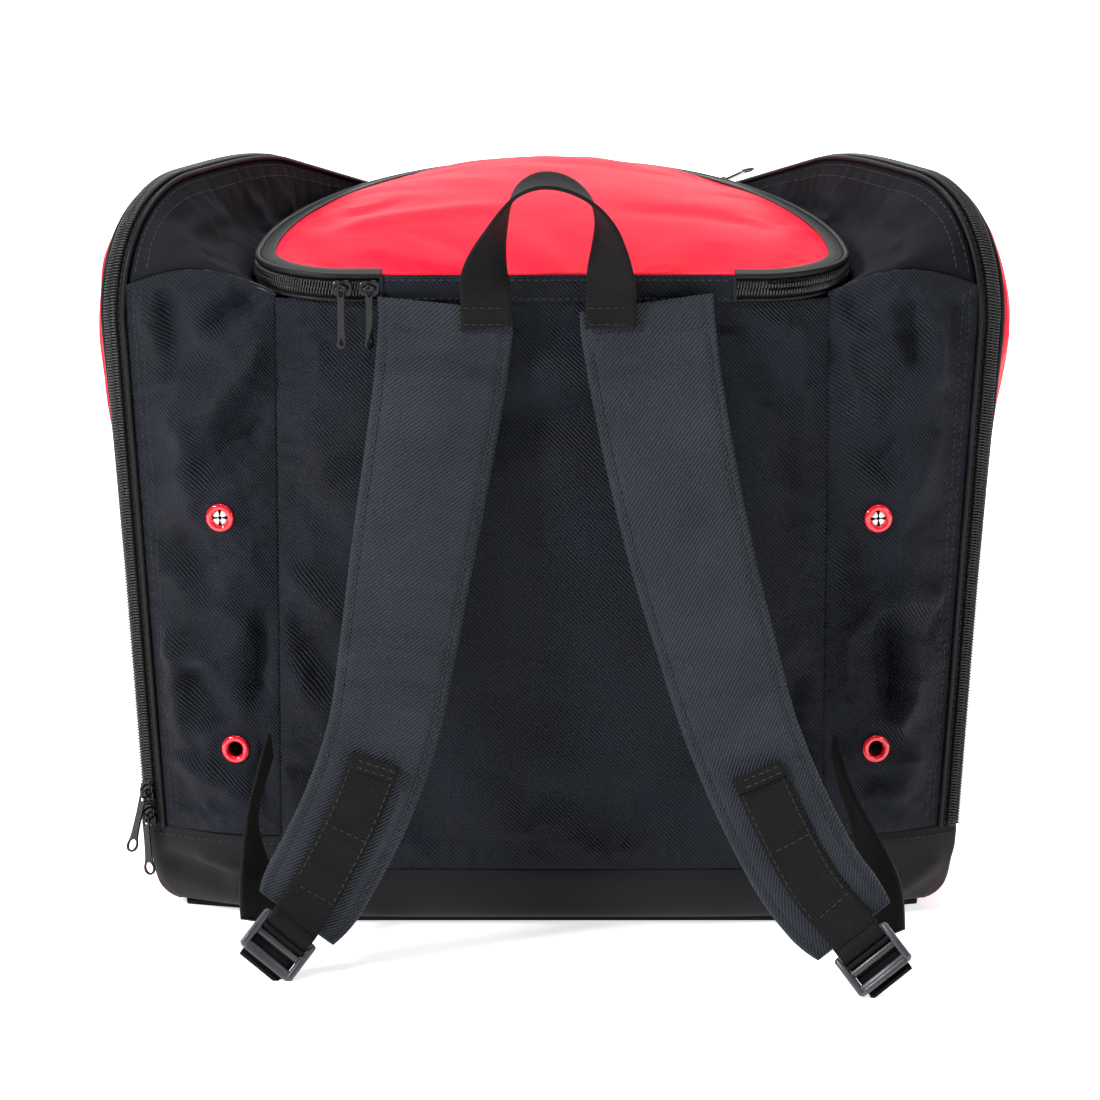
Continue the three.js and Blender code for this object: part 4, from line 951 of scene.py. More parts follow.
def settle(panels, slack, pressure):
    """Simulates all the panels at once. Each is (grid of points, seed); returns how far each point moves."""
    data = bpy.data.meshes.new("cloth_run")
    points, faces, pins, start = [], [], [], 0
    for grid, seed in panels:
        n, m = grid.shape[:2]
        u, v = panel_lengths(grid)
        from_seam = seam_distance(u, v)
        nudge = 1.2 * wobble(u, v, 16, seed) * smooth(from_seam, 2, 15)
        points.append((grid + grid_normals(grid) * nudge[..., None]).reshape(-1, 3))
        pins.append((1 - smooth(from_seam, 1.5, 16)).ravel())
        index = np.arange(n * m).reshape(n, m) + start
        quad = [index[:-1, :-1], index[1:, :-1], index[1:, 1:], index[:-1, 1:]]
        faces.append(np.stack(quad, -1).reshape(-1, 4))
        start += n * m
    data.from_pydata((np.concatenate(points) * MM).tolist(), [], np.concatenate(faces).tolist())
    run = bpy.data.objects.new("cloth_run", data)
    bpy.context.scene.collection.objects.link(run)
    group = run.vertex_groups.new(name="seams")
    for i, weight in enumerate(np.concatenate(pins)):
        if weight > 0.02:
            group.add([i], float(weight), "REPLACE")
    cloth = run.modifiers.new("settle", "CLOTH")
    settings = cloth.settings
    for key, value in CLOTH_SETTINGS.items():
        setattr(settings, key, value)
    settings.shrink_min = -slack
    settings.uniform_pressure_force = pressure
    settings.effector_weights.gravity = 0.0
    cloth.collision_settings.use_collision = False
    cloth.point_cache.frame_start = 1
    cloth.point_cache.frame_end = SIM_FRAMES
    for step in range(1, SIM_FRAMES + 1):
        bpy.context.scene.frame_set(step)
    settled = run.evaluated_get(bpy.context.evaluated_depsgraph_get()).data
    flat = np.zeros(len(settled.vertices) * 3)
    settled.vertices.foreach_get("co", flat)
    bpy.data.objects.remove(run)
    bpy.data.meshes.remove(data)
    bpy.context.scene.frame_set(1)
    moved, start = [], 0
    after = flat.reshape(-1, 3) / MM
    for grid, _ in panels:
        count = grid.shape[0] * grid.shape[1]
        shift = after[start : start + count].reshape(grid.shape) - grid
        moved.append(shift)
        start += count
    return moved


def capped(shift, most):
    size = np.linalg.norm(shift, axis=-1, keepdims=True)
    return shift * (most / np.maximum(size, 1e-9)) * np.tanh(size / most)


def sized(surface, step=SIM_STEP_MM):
    """How many columns and rows of about that step the surface takes."""
    rough = surface_grid(surface, 12, 12)
    u, v = panel_lengths(rough)
    return max(6, round(u.max() / step)), max(6, round(v.max() / step))


SIDES = {"left": -1, "right": 1}


def mirrored(surface, side):
    def turned(f, g):
        point = surface(f, g)
        point[..., 0] *= side
        return point

    return turned


LOOSE = {"back": back_panel}
FULL = {"lid": lid_top, "front": front_panel}
for side_name, side in SIDES.items():
    LOOSE[side_name + "_rear"] = mirrored(rear_panel, side)
    LOOSE[side_name + "_gusset"] = mirrored(pod_gusset, side)
    FULL[side_name + "_door"] = mirrored(door_and_sill, side)


def settle_all():
    moved = {}
    for group, slack, pressure in ((LOOSE, 0.026, 0.0), (FULL, 0.004, 1.2)):
        grids = [surface_grid(surface, *sized(surface)) for surface in group.values()]
        runs = [(grid, seed + 11) for seed, grid in enumerate(grids)]
        for name, shift in zip(group, settle(runs, slack, pressure)):
            moved[name] = shift
    return moved


SETTLED = settle_all()

# --- folds ---


def fold(x, z, start, end, width, height):
    """A soft ridge, or with a negative height a valley, along a line on a panel seen from behind."""
    start, end = np.asarray(start, float), np.asarray(end, float)
    way = end - start
    share = ((x - start[0]) * way[0] + (z - start[1]) * way[1]) / way.dot(way)
    off = np.hypot(x - (start[0] + share * way[0]), z - (start[1] + share * way[1]))
    along = smooth(share, -0.12, 0.25) * (1 - smooth(share, 0.75, 1.12))
    return height * np.exp(-((off / width) ** 2)) * along


# Each fold: from, to, half width and height, in X and Z on the panel.
REAR_FOLDS = {
    "left": [
        ((-190, 318), (-184, 268), 6, -3.6),
        ((-200, 312), (-178, 262), 7, 2.6),
        ((-138, 322), (-168, 296), 6, -3.4),
        ((-136, 292), (-172, 250), 8, 3.0),
        ((-140, 262), (-176, 222), 9, -2.6),
        ((-186, 262), (-178, 214), 9, 2.2),
        ((-146, 150), (-178, 128), 8, 2.2),
        ((-137, 160), (-146, 110), 7, -3.0),
        ((-188, 150), (-184, 92), 6, 2.8),
        ((-178, 128), (-160, 100), 8, -2.4),
        ((-190, 84), (-150, 62), 7, 2.2),
        ((-146, 96), (-140, 58), 6, -3.0),
        ((-184, 200), (-166, 160), 9, -1.8),
    ],
    "right": [
        ((180, 318), (191, 268), 6, 3.2),
        ((172, 312), (180, 276), 6, -2.8),
        ((138, 290), (160, 240), 8, 2.8),
        ((140, 316), (158, 296), 7, -2.4),
        ((150, 262), (172, 214), 8, -2.0),
        ((186, 250), (176, 214), 8, 2.0),
        ((168, 168), (192, 160), 8, 3.0),
        ((166, 158), (167, 104), 6, -3.6),
        ((178, 152), (178, 100), 8, 1.8),
        ((150, 78), (176, 112), 6, 2.6),
        ((144, 98), (166, 62), 7, -2.2),
        ((184, 92), (170, 60), 7, 1.8),
        ((140, 200), (152, 150), 8, -1.8),
    ],
}
BACK_FOLDS = [
    ((-132, 182), (-98, 152), 8, 4.2),
    ((-132, 160), (-104, 118), 8, -3.6),
    ((-130, 132), (-104, 92), 8, 3.0),
    ((-128, 226), (-104, 196), 9, -2.4),
    ((-126, 268), (-108, 232), 9, 2.0),
    ((124, 150), (104, 122), 8, 2.8),
    ((128, 128), (110, 92), 7, -2.6),
    ((126, 292), (96, 304), 7, 2.0),
    ((112, 250), (118, 190), 8, -2.0),
    ((30, 52), (34, 34), 4, 1.0),
    ((4, 250), (-6, 120), 26, 0.9),
]
EYELET_AT = {
    "left": [("upper", 0.41, 0.568), ("lower", 0.36, 0.155)],
    "right": [("upper", 0.37, 0.568), ("lower", 0.42, 0.155)],
}
EYELET_PUCKER = 17.0
FOLD_GAIN = 1.7  # the placed folds, against the heights listed
POD_FOLD_GAIN = 2.5  # the same on the pods, whose cloth is slacker


SEAM_REACH = 5.0


def cloth_grid(name, surface, inward, step=1.7, cap=5.0, extra=None, roll=1.1):
    """The panel at full detail: its shape, its settled folds, its placed folds and its seams."""
    columns, rows = sized(surface, step)
    points = surface_grid(surface, columns, rows)
    normals = outer_normals(points, inward)
    from_seam = seam_distance(*panel_lengths(points))
    out = -roll * np.exp(-((from_seam / SEAM_REACH) ** 2) * 2.2)
    if extra is not None:
        out = out + extra(points) * smooth(from_seam, 0, 12)
    if name in SETTLED:
        points = points + resample(capped(SETTLED[name], cap), columns, rows)
    return points + normals * out[..., None]


def folds_of(folds, wobble_seed, wobble_high=0.8, size=26, gain=FOLD_GAIN):
    def height(points):
        x, z = points[..., 0], points[..., 2]
        total = wobble_high * wobble(x, z, size, wobble_seed)
        for entry in folds:
            total = total + gain * fold(x, z, *entry)
        return total

    return height


def orient_weave(piece):
    """The weave's directions follow X and Z, so that its diagonal leans the same way on every panel."""
    data = piece.data
    layer = data.uv_layers["weave"]
    uvs = np.zeros(len(data.loops) * 2, dtype=np.float32)
    layer.data.foreach_get("uv", uvs)
    corner = np.zeros(len(data.loops), dtype=np.int64)
    data.loops.foreach_get("vertex_index", corner)
    places = np.zeros(len(data.vertices) * 3, dtype=np.float32)
    data.vertices.foreach_get("co", places)
    uvs, places = uvs.reshape(-1, 2), places.reshape(-1, 3)[corner]
    for axis, place in ((0, places[:, 0]), (1, places[:, 2])):
        if np.cov(uvs[:, axis], place)[0, 1] < 0:
            uvs[:, axis] *= -1
    layer.data.foreach_set("uv", uvs.ravel())


CLOTH_THICK = 1.1


def add_panel(name, grid, inward, material, slot, node, lining=LINING):
    """A cloth panel on the bag, in place of its node."""
    piece = sheet_mesh(name, grid, inward, CLOTH_THICK, material, lining)
    orient_weave(piece)
    return attach(piece, "bag", slot, node)


# --- the centre compartment ---


def add_centre():
    grid = cloth_grid("back", back_panel, BAG_MIDDLE, extra=folds_of(BACK_FOLDS, 3, 0.9, 34), roll=0.5)
    back = add_panel("back_cloth", grid, BAG_MIDDLE, CANVAS, "canvas", "back_panel")
    grid = cloth_grid("", rear_base_band, BAG_MIDDLE, extra=folds_of([], 8, 0.7, 22))
    add_panel("rear_base_cloth", grid, BAG_MIDDLE, BASE_CLOTH, "plain_cloth", "rear_base_band")
    grid = cloth_grid("front", front_panel, BAG_MIDDLE, extra=folds_of([], 9, 0.6, 30))
    add_panel("front_cloth", grid, BAG_MIDDLE, RED, "red_cloth", "front_panel")
    grid = cloth_grid("", front_base_band, BAG_MIDDLE, extra=folds_of([], 10, 0.4, 22))
    add_panel("front_base_cloth", grid, BAG_MIDDLE, BASE_CLOTH, "plain_cloth", "front_base_band")


HINGE_FOOT_Z = 313.2
HINGE_TOP_Z = 326.4


def hinge_band(f, g):
    x = lerp(-BAND_LEFT - 0.5, BAND_RIGHT + 0.5, f)
    droop = 0.5 * np.sin(math.pi * g) + 0.25 * np.sin(x / 7.0) * np.sin(math.pi * g)
    return points_at(x, BACK_Y - 1.9 - droop, lerp(HINGE_FOOT_Z, HINGE_TOP_Z, g))


def add_hinge_band():
    grid = surface_grid(hinge_band, 130, 10)
    add_panel("hinge_cloth", grid, BAG_MIDDLE, CANVAS, "canvas", "lid_hinge_band", CANVAS)
    for low in (314.8, 323.8):
        x = np.linspace(-BAND_LEFT + 1, BAND_RIGHT - 1, 60)
        line = points_at(x, BACK_Y - 2.4, low)
        stitch_row(f"hinge_stitches_{round(low)}", line, away_rear(line), "bag")
    for side_name, x in (("left", -BAND_LEFT), ("right", BAND_RIGHT)):
        z = np.linspace(313.5, 325.5, 14)
        ridge = points_at(x, BACK_Y - 2.5, z)
        fold_over = tube(f"hinge_{side_name}_end", ridge, 1.0, CANVAS, (0, -1, 0), 8)
        attach(fold_over, "bag", "canvas")


def away_rear(line):
    return np.broadcast_to(np.array((0.0, -1.0, 0.0)), line.shape)


def surface_row(grid, at, by_column):
    """A line across a settled grid at a share of one of its ways, and the way out of the cloth there."""
    n, m = grid.shape[:2]
    normals = grid_normals(grid)
    if by_column:
        i = min(n - 1, max(0, round(at * (n - 1))))
        return grid[i], normals[i]
    j = min(m - 1, max(0, round(at * (m - 1))))
    return grid[:, j], normals[:, j]


def stitch_on(name, grid, at, by_column, inward, body, trim=0.0):
    line, away = surface_row(grid, at, by_column)
    if np.sum(away * (np.asarray(inward, float) - line)) > 0:
        away = -away
    first = int(trim * len(line))
    kept = slice(first, len(line) - first)
    stitch_row(name, line[kept], away[kept], body)


# --- the pods ---


def add_pod(name, side):
    middle = POD_MIDDLE * (side, 1, 1)
    rear = mirrored(rear_panel, side)
    columns, rows = sized(rear, 1.7)
    shape = surface_grid(rear, columns, rows)

    def rear_height(points):
        total = folds_of(REAR_FOLDS[name], 21 + side, 0.9, 30, POD_FOLD_GAIN)(points)
        for _, across, up in EYELET_AT[name]:
            spot = rear(np.array(across), np.array(up))
            reach = np.hypot(points[..., 0] - spot[0], points[..., 2] - spot[2])
            total = total * smooth(reach, 4, EYELET_PUCKER) - 0.7 * np.exp(-((reach / 9) ** 2))
        return total

    grid = cloth_grid(name + "_rear", rear, middle, extra=rear_height, roll=0.5)
    flatten_round_eyelets(name, grid, shape, rear)
    add_rear_cloth(name, grid, middle)
    gusset = cloth_grid(name + "_gusset", mirrored(pod_gusset, side), middle, extra=gusset_height(side))
    # The crown takes the canvas copy whose colour and matt finish paint in the crown's shade.
    add_panel(name + "_gusset_cloth", gusset, middle, CROWN_CANVAS_PAINTED_SHADE, "canvas", name + "_pod_gusset")
    folds = folds_of(BASE_FOLDS[name], 31 + side, 0.9, 18)
    band = tucked(cloth_grid("", mirrored(pod_base_band, side), middle, extra=folds), side)
    add_panel(name + "_base_cloth", band, middle, BASE_CLOTH, "plain_cloth", name + "_base_band")
    wall = surface_grid(mirrored(divider, side), 60, 60)
    node = name + "_divider"
    lining = add_panel(name + "_divider_cloth", wall, BAG_MIDDLE, LINING, "plain_cloth", node)
    for at in (0.06, 0.12):
        stitch_on(f"{name}_rear_stitches_{round(at * 100)}", grid, 1 - at, True, middle, "bag", 0.01)
        stitch_on(f"{name}_crown_stitches_{round(at * 100)}", gusset, 1 - at, False, middle, "bag", 0.01)
    stitch_on(name + "_band_stitches", band, 0.12, False, middle, "bag", 0.02)


BASE_FOLDS = {
    "left": [
        ((-196, 28), (-160, 18), 6, -2.4),
        ((-178, 34), (-146, 26), 5, 2.0),
        ((-150, 34), (-150, 10), 6, -2.0),
    ],
    "right": [
        ((196, 30), (170, 12), 6, 1.6),
        ((168, 36), (158, 10), 6, -2.2),
        ((150, 34), (146, 12), 5, 1.8),
    ],
}


def gusset_height(side):
    def height(points):
        x, y = points[..., 0] * side, points[..., 1]
        total = 0.9 * wobble(x, y, 34, 40 + side)
        total = total + fold(x, y, (150, -140), (186, -96), 12, -2.5)
        total = total + fold(x, y, (138, -90), (176, -70), 14, 2.0)
        return total

    return height


def flatten_round_eyelets(name, grid, shape, rear):
    """The cloth is clamped flat, at its designed place, under each eyelet."""
    for _, across, up in EYELET_AT[name]:
        spot = rear(np.array(across), np.array(up))
        reach = np.linalg.norm(shape - spot, axis=-1)
        hold = (1 - smooth(reach, 7.5, 16))[..., None]
        grid[...] = lerp(grid, shape, hold)


EYELET_HOLE = 5.2


def add_rear_cloth(name, grid, middle):
    piece = add_panel(name + "_rear_cloth", grid, middle, CANVAS, "canvas", name + "_rear_panel")
    cut_round_eyelets(piece, name, SIDES[name])


def cut_round_eyelets(piece, name, side):
    """Opens the cloth at the eyelets: each gets a round hole through both faces."""
    rear = mirrored(rear_panel, side)
    cutters = []
    for _, across, up in EYELET_AT[name]:
        point, outward = eyelet_place(rear, across, up)
        bpy.ops.mesh.primitive_cylinder_add(vertices=32, radius=EYELET_HOLE * MM, depth=0.02)
        cutter = bpy.context.object
        cutter.location = Vector(point * MM)
        cutter.rotation_euler = Vector(outward).to_track_quat("Z", "Y").to_euler()
        cutters.append(cutter)
    for cutter in cutters:
        cut = piece.modifiers.new("eyelet_hole", "BOOLEAN")
        cut.operation = "DIFFERENCE"
        cut.solver = "EXACT"
        cut.object = cutter
    bpy.context.view_layer.update()
    made = bpy.data.meshes.new_from_object(piece.evaluated_get(bpy.context.evaluated_depsgraph_get()))
    piece.modifiers.clear()
    piece.data = made
    for cutter in cutters:
        bpy.data.objects.remove(cutter)


def eyelet_place(rear, across, up):
    step = 1e-3
    across, up = np.array(across), np.array(up)
    point = rear(across, up)
    along_f = rear(across + step, up) - rear(across - step, up)
    along_g = rear(across, up + step) - rear(across, up - step)
    outward = unit(np.cross(along_f, along_g))
    if outward[1] > 0:
        outward = -outward
    return point, outward


def lathe(name, profile, place, outward, material):
    """A turned ring: a closed profile of (radius, height) swept round the outward way."""
    outward = unit(np.asarray(outward, float))
    first = unit(np.cross(outward, (0, 0, 1)))
    second = np.cross(outward, first)
    turn = full_turn(48)
    ring = np.cos(turn)[:, None] * first + np.sin(turn)[:, None] * second
    rings = [[place + r * way + h * outward for r, h in profile] for way in ring]
    return ring_mesh(name, rings, material, closed=True)


RIM_PROFILE = [
    (3.75, -3.0), (4.9, -3.0), (4.9, 0.25), (6.9, 0.2), (7.0, 0.55), (6.75, 1.0), (6.2, 1.4),
    (5.5, 1.6), (4.8, 1.5), (4.2, 1.1), (3.85, 0.5), (3.75, -0.4),
]


def add_eyelets(name, side):
    rear = mirrored(rear_panel, side)
    for level, across, up in EYELET_AT[name]:
        point, outward = eyelet_place(rear, across, up)
        ring = lathe(f"{name}_eyelet_{level}_ring", RIM_PROFILE, point, outward, RED_ENAMEL)
        attach(ring, "bag", "red_enamel", f"{name}_eyelet_{level}")
        if level == "upper":
            add_petals(name, point, outward)


def add_petals(name, place, outward):
    """Four bright petals of the split barrel, rolled over inside the bore."""
    first = unit(np.cross(outward, (0, 0, 1)))
    second = np.cross(outward, first)
    parts = []
    for quarter in range(4):
        start = quarter * math.pi / 2 + math.radians(16)
        turn = np.linspace(start, start + math.radians(62), 7)
        upper, lower = [], []
        for reach, high in ((0.9, 0.35), (2.2, 0.75), (3.6, 0.2)):
            for a in turn:
                way = math.cos(a) * first + math.sin(a) * second
                upper.append(place + reach * way + high * outward)
                lower.append(place + reach * way + (high - 0.5) * outward)
        n, m = 3, len(turn)
        faces = []
        for i in range(n - 1):
            for k in range(m - 1):
                quad = [i * m + k, i * m + k + 1, (i + 1) * m + k + 1, (i + 1) * m + k]
                faces += [quad, [q + n * m for q in quad[::-1]]]
        rim = list(range(m)) + [m - 1 + i * m for i in range(1, n)]
        rim += [(n - 1) * m + k for k in range(m - 2, -1, -1)] + [i * m for i in range(n - 2, 0, -1)]
        for a, b in zip(rim, rim[1:] + rim[:1]):
            faces.append([b, a, a + n * m, b + n * m])
        parts.append((np.array(upper + lower), faces))
    petals = join_meshes(name + "_eyelet_petals", parts, PALE_METAL)
    attach(petals, "bag", "red_enamel")


# --- the doors ---


# How far the zip's outer edge and the door's start turn round the bag's side, in degrees: at the heights
# of the first row on the rear line of each pod, and one turn along the front.
TUCK_HEIGHTS = (170, 240, 290, 330, 367)
TUCK_TURNS = {-1: (75, 62, 44, 39, 45), 1: (75, 58, 27, 34, 43)}
TUCK_FRONT = 35
TUCK_START = 3.5  # the coil itself stays flat
TUCK_REACH = 40.0  # how far into the door the turn fades out


def tucked(points, side):
    """Turns what stands outside the zip's coil round towards the middle of the pod's side."""
    shape = points.shape
    flat = points.reshape(-1, 3) * (side, 1, 1)
    along = (flat[:, :2] - ZIP_REAR) @ POD_ALONG
    up = flat[:, 2]
    out = (flat[:, :2] - ZIP_REAR) @ POD_OUT - plane_at(up)
    line = ZIP.read(np.linspace(0, 1, 500))
    ahead = unit(np.gradient(line, axis=0))
    inward = np.stack([ahead[:, 1], -ahead[:, 0]], -1)
    place = np.stack([along, up], -1)
    nearest = np.concatenate([
        np.argmin(np.sum((part[:, None] - line) ** 2, axis=-1), axis=1)
        for part in np.array_split(place, max(1, len(place) // 4000))
    ])
    gap = np.linalg.norm(place - line[nearest], axis=-1)
    turn = np.interp(up, TUCK_HEIGHTS, TUCK_TURNS[side])
    turn = np.radians(lerp(turn, TUCK_FRONT, smooth(along, 60, 140)))
    beyond = np.maximum(out - TUCK_START, 0)
    fade = np.exp(-((gap / TUCK_REACH) ** 2))
    back = beyond * (1 - np.cos(turn)) * fade
    shift = (np.minimum(beyond, 6) * np.sin(turn) * fade)[:, None] * inward[nearest]
    moved = flat.copy()
    moved[:, :2] += shift[:, :1] * POD_ALONG - back[:, None] * POD_OUT
    moved[:, 2] += shift[:, 1]
    moved[:, 2] = np.maximum(moved[:, 2], np.minimum(up, BAND_FOOT_Z))
    return (moved * (side, 1, 1)).reshape(shape)


def add_door(name, side):
    middle = POD_MIDDLE * (side, 1, 1)
    surface, waves = mirrored(door_and_sill, side), folds_of([], 50 + side, 0.6, 46)
    grid = cloth_grid(name + "_door", surface, middle, step=2.4, cap=2.5, extra=waves, roll=0.6)
    grid = tucked(grid, side)
    skin = sheet_mesh(name + "_door_cloth", grid, middle, CLOTH_THICK, RED, LINING)
    orient_weave(skin)
    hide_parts(name + "_boot_door", name + "_side_sill")
    low, high = door_fold(side)
    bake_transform(skin)
    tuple(low)
    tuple(high)


def door_fold(side):
    """Two places at the door's foot, low and high: where the red skin would start to follow the door, and
    where it would follow it wholly.
    """
    foot = (0.1848 * side, 0.0326)
    return (*foot, 0.034), (*foot, 0.062)


# --- zips ---

COIL_PITCH = 1.45
COIL_HALF_WIDE = 1.95
COIL_HALF_HIGH = 0.95
COIL_WIRE = 0.42
TUBE_HINT = (0.13, 0.31, 0.94)  # a direction that no part of the zips runs along


def coil(name, middle, across, away, reach, phase):
    """Half of a coil zip: a flattened helix along the line, whose turns mesh with the other half's."""
    line = Line(np.concatenate([middle, across, away], axis=1))
    length = Line(middle).length
    turns = int(length / COIL_PITCH)
    steps = 8
    angle = np.arange(turns * steps + 1) / steps * 2 * math.pi
    share = np.clip((angle / (2 * math.pi) + phase) * COIL_PITCH / length, 0, 1)
    both = line.read(share)
    spot, side, up = both[:, :3], unit(both[:, 3:6]), unit(both[:, 6:])
    wire = spot + side * (reach + COIL_HALF_WIDE * np.cos(angle))[:, None]
    wire = wire + up * (0.35 + COIL_HALF_HIGH * (1 + np.sin(angle)))[:, None]
    return tube(name, wire, COIL_WIRE, COIL_NYLON, TUBE_HINT, sides=5)


def zip_line(side):
    middle = zip_at(np.linspace(0, 1, 700), 0.0)
    ahead = np.gradient(middle, axis=0)
    across = np.broadcast_to(np.array((POD_OUT[0], POD_OUT[1], 0.0)), middle.shape).copy()
    away = unit(np.cross(ahead, across))
    if np.sum(away * (middle - POD_MIDDLE)) < 0:
        away = -away
    for way in (middle, across, away):
        way[:, 0] *= side
    return middle, across, away


def zip_ribbon(side, near, far):
    """The tape's outer face, as a grid along the zip."""
    def surface(f, g):
        point = zip_at(f, lerp(near, far, g))
        point[..., 0] *= side
        return point

    return surface_grid(surface, 420, 6)


def add_pod_zip(name, side):
    middle, across, away = zip_line(side)
    inside = POD_MIDDLE * (side, 1, 1)
    for half, sign, body, phase in (("inner", -1, "bag", 0.0), ("outer", 1, name + "_door", 0.5)):
        grid = tucked(zip_ribbon(side, sign * 0.3, sign * (TAPE_WIDE + 0.3)), side)
        tape = sheet_mesh(f"{name}_zip_{half}_tape", grid, inside, 0.9, TAPE_CLOTH)
        attach(tape, body, "zip_tape", f"{name}_zip_{half}")
        teeth = coil(f"{name}_zip_{half}_coil", middle, across, away, sign * 1.6, phase)
        attach(teeth, body, "zip_tape")
        edge = tucked(middle + across * (sign * (TAPE_WIDE + 0.2)), side) + away * 0.5
        cord = tube(f"{name}_zip_{half}_piping", edge, 1.35, PIPING_CLOTH, TUBE_HINT)
        attach(cord, body, "zip_tape")
        run = tucked(middle + across * (sign * 4.6), side)
        stitch_row(f"{name}_zip_{half}_stitches", run, away, body)


def lid_zip_line():
    around = np.linspace(-1, 1, 900)
    middle = rim_at(around, RIM_LEFT, RIM_RIGHT)
    outward = rim_outward(around, RIM_LEFT, RIM_RIGHT)
    middle = middle + outward
    up = np.broadcast_to(np.array((0.0, 0.0, 1.0)), middle.shape).copy()
    return middle, up, outward


def add_lid_zip():
    middle, up, outward = lid_zip_line()
    for half, sign, body, phase in (("lower", -1, "bag", 0.0), ("upper", 1, "lid", 0.5)):
        share = np.linspace(0.3, LID_TAPE + 0.2, 6)
        grid = middle[:, None] + up[:, None] * (sign * share)[None, :, None]
        tape = sheet_mesh(f"lid_zip_{half}_tape", grid, BAG_MIDDLE, 0.9, TAPE_CLOTH)
        attach(tape, body, "zip_tape", f"lid_zip_{half}")
        teeth = coil(f"lid_zip_{half}_coil", middle, up, outward, sign * 1.6, phase)
        attach(teeth, body, "zip_tape")
        edge = middle + up * (sign * (LID_TAPE + 0.3)) + outward * (0.9 if sign > 0 else 0.2)
        cord = tube(f"lid_zip_{half}_piping", edge, 1.5 if sign > 0 else 0.9, PIPING_CLOTH, (0, 0, 1), 10)
        attach(cord, body, "zip_tape")


# --- the lid ---

LID_BINDING_WIDE = 7.5


def lid_crease(points):
    """Broad flats over the stuffed bag: two creases fan out from the handle, and the corners crumple."""
    x, y = points[..., 0], points[..., 1]
    total = 0.8 * wobble(x, y, 40, 71)
    total = total + fold(x, y, (-20, -60), (-118, -96), 12, 2.2)
    total = total + fold(x, y, (30, -66), (126, -70), 12, -1.8)
    total = total + fold(x, y, (92, -60), (134, -84), 8, 2.0)
    total = total + fold(x, y, (-70, -40), (-128, -66), 10, -1.8)
    return total


def add_lid():
    grid = cloth_grid("lid", lid_top, BAG_MIDDLE, step=2.0, cap=5.0, extra=lid_crease, roll=0.8)
    top = sheet_mesh("lid_cloth", grid, BAG_MIDDLE, 1.4, RED, LINING)
    orient_weave(top)
    attach(top, "lid", "red_cloth", "lid")
    around = np.linspace(-1, 1, 700)
    rim = rim_at(around, RIM_LEFT, RIM_RIGHT)
    outward = rim_outward(around, RIM_LEFT, RIM_RIGHT)
    rows = []
    for share in np.linspace(0, 1, 7):
        spot = rim + outward * (0.6 - LID_BINDING_WIDE * share)
        spot[:, 2] = lid_height(spot[:, 0], spot[:, 1]) + 0.7 + 0.5 * math.sin(math.pi * share)
        rows.append(spot)
    binding = sheet_mesh("lid_binding", np.stack(rows, 1), BAG_MIDDLE, 1.0, PIPING_CLOTH)
    attach(binding, "lid", "zip_tape")


# --- straps ---

STRAPS = {
    "left": {
        "line": [
            (-51, -164, 302.5), (-54, -170, 275), (-60, -182, 236), (-67, -193, 194), (-74, -202, 150),
            (-81, -211, 112), (-93, -216, 78), (-107, -220, 50), (-121, -226, 27), (-136, -238, 10),
        ],
        "anchor": (-138, -161, 95),
        "web_route": [
            (-142, -172, 82), (-145, -182, 68), (-144, -194, 53), (-141, -206, 38), (-138, -220, 22),
        ],
    },
    "right": {
        "line": [
            (46, -164, 302.5), (50, -170, 275), (57, -182, 238), (66, -195, 198), (78, -210, 155),
            (90, -223, 116), (106, -234, 79), (123, -245, 49), (142, -254, 27), (156, -266, 10),
        ],
        "anchor": (138, -161, 95),
        "web_route": [(142, -172, 80), (148, -186, 64), (153, -204, 50), (157, -226, 36), (156, -247, 22)],
    },
}
PAD_END = 0.925
PAD_HALF_THICK = 5.3
PAD_TOP_HALF_THICK = 2.4
PAD_WIDTHS = (65.0, 60.0, 53.0, 50.0)
WEBBING = 24.5
WEB_THICK = 1.8
PAD_TOP = -0.035  # the pad's flat end runs up under the handle's feet, above its first point
# Each fold across a strap: where along it, its half width as a share of the strap, and its height.
STRAP_FOLDS = {
    "left": [
        (0.30, 0.012, 0.9), (0.40, 0.014, -1.1), (0.455, 0.012, 1.3), (0.50, 0.010, -1.4), (0.54, 0.013, 1.5),
        (0.585, 0.010, -1.2), (0.63, 0.014, 0.9), (0.06, 0.012, -1.2), (0.095, 0.014, 0.8), (0.2, 0.02, -0.6),
    ],
    "right": [
        (0.06, 0.012, -1.1), (0.1, 0.016, 0.8), (0.30, 0.016, -0.7), (0.42, 0.012, 0.7), (0.52, 0.010, -0.9),
        (0.585, 0.008, -1.0), (0.64, 0.008, -0.9), (0.70, 0.008, -0.8), (0.24, 0.02, 0.6),
    ],
}
STRAP_FOLD_GAIN = 1.3  # against the heights listed
SEAM_INSET = 4.2  # the edge stitches' distance from the pad's edge
SEAM_DEPTH = 0.75


def strap_frame(curve, share):
    share = np.asarray(share, float)
    point = curve.read(np.maximum(share, 0))
    along = curve.direction(share.clip(0.003, 1), 0.003)
    point = point + np.minimum(share, 0)[..., None] * curve.length * np.array((0.06, -0.1, -1.0))
    across = unit(points_at(along[..., 2], 0, -along[..., 0]))
    outward = unit(np.cross(across, along))
    outward = np.where(outward[..., 1:2] > 0, -outward, outward)
    return point, along, across, outward


def pad_width(share):
    return np.interp(share, np.linspace(0, 1, len(PAD_WIDTHS)), PAD_WIDTHS)


def pad_half_thick(share):
    return lerp(PAD_TOP_HALF_THICK, PAD_HALF_THICK, smooth(share, 0.01, 0.1))


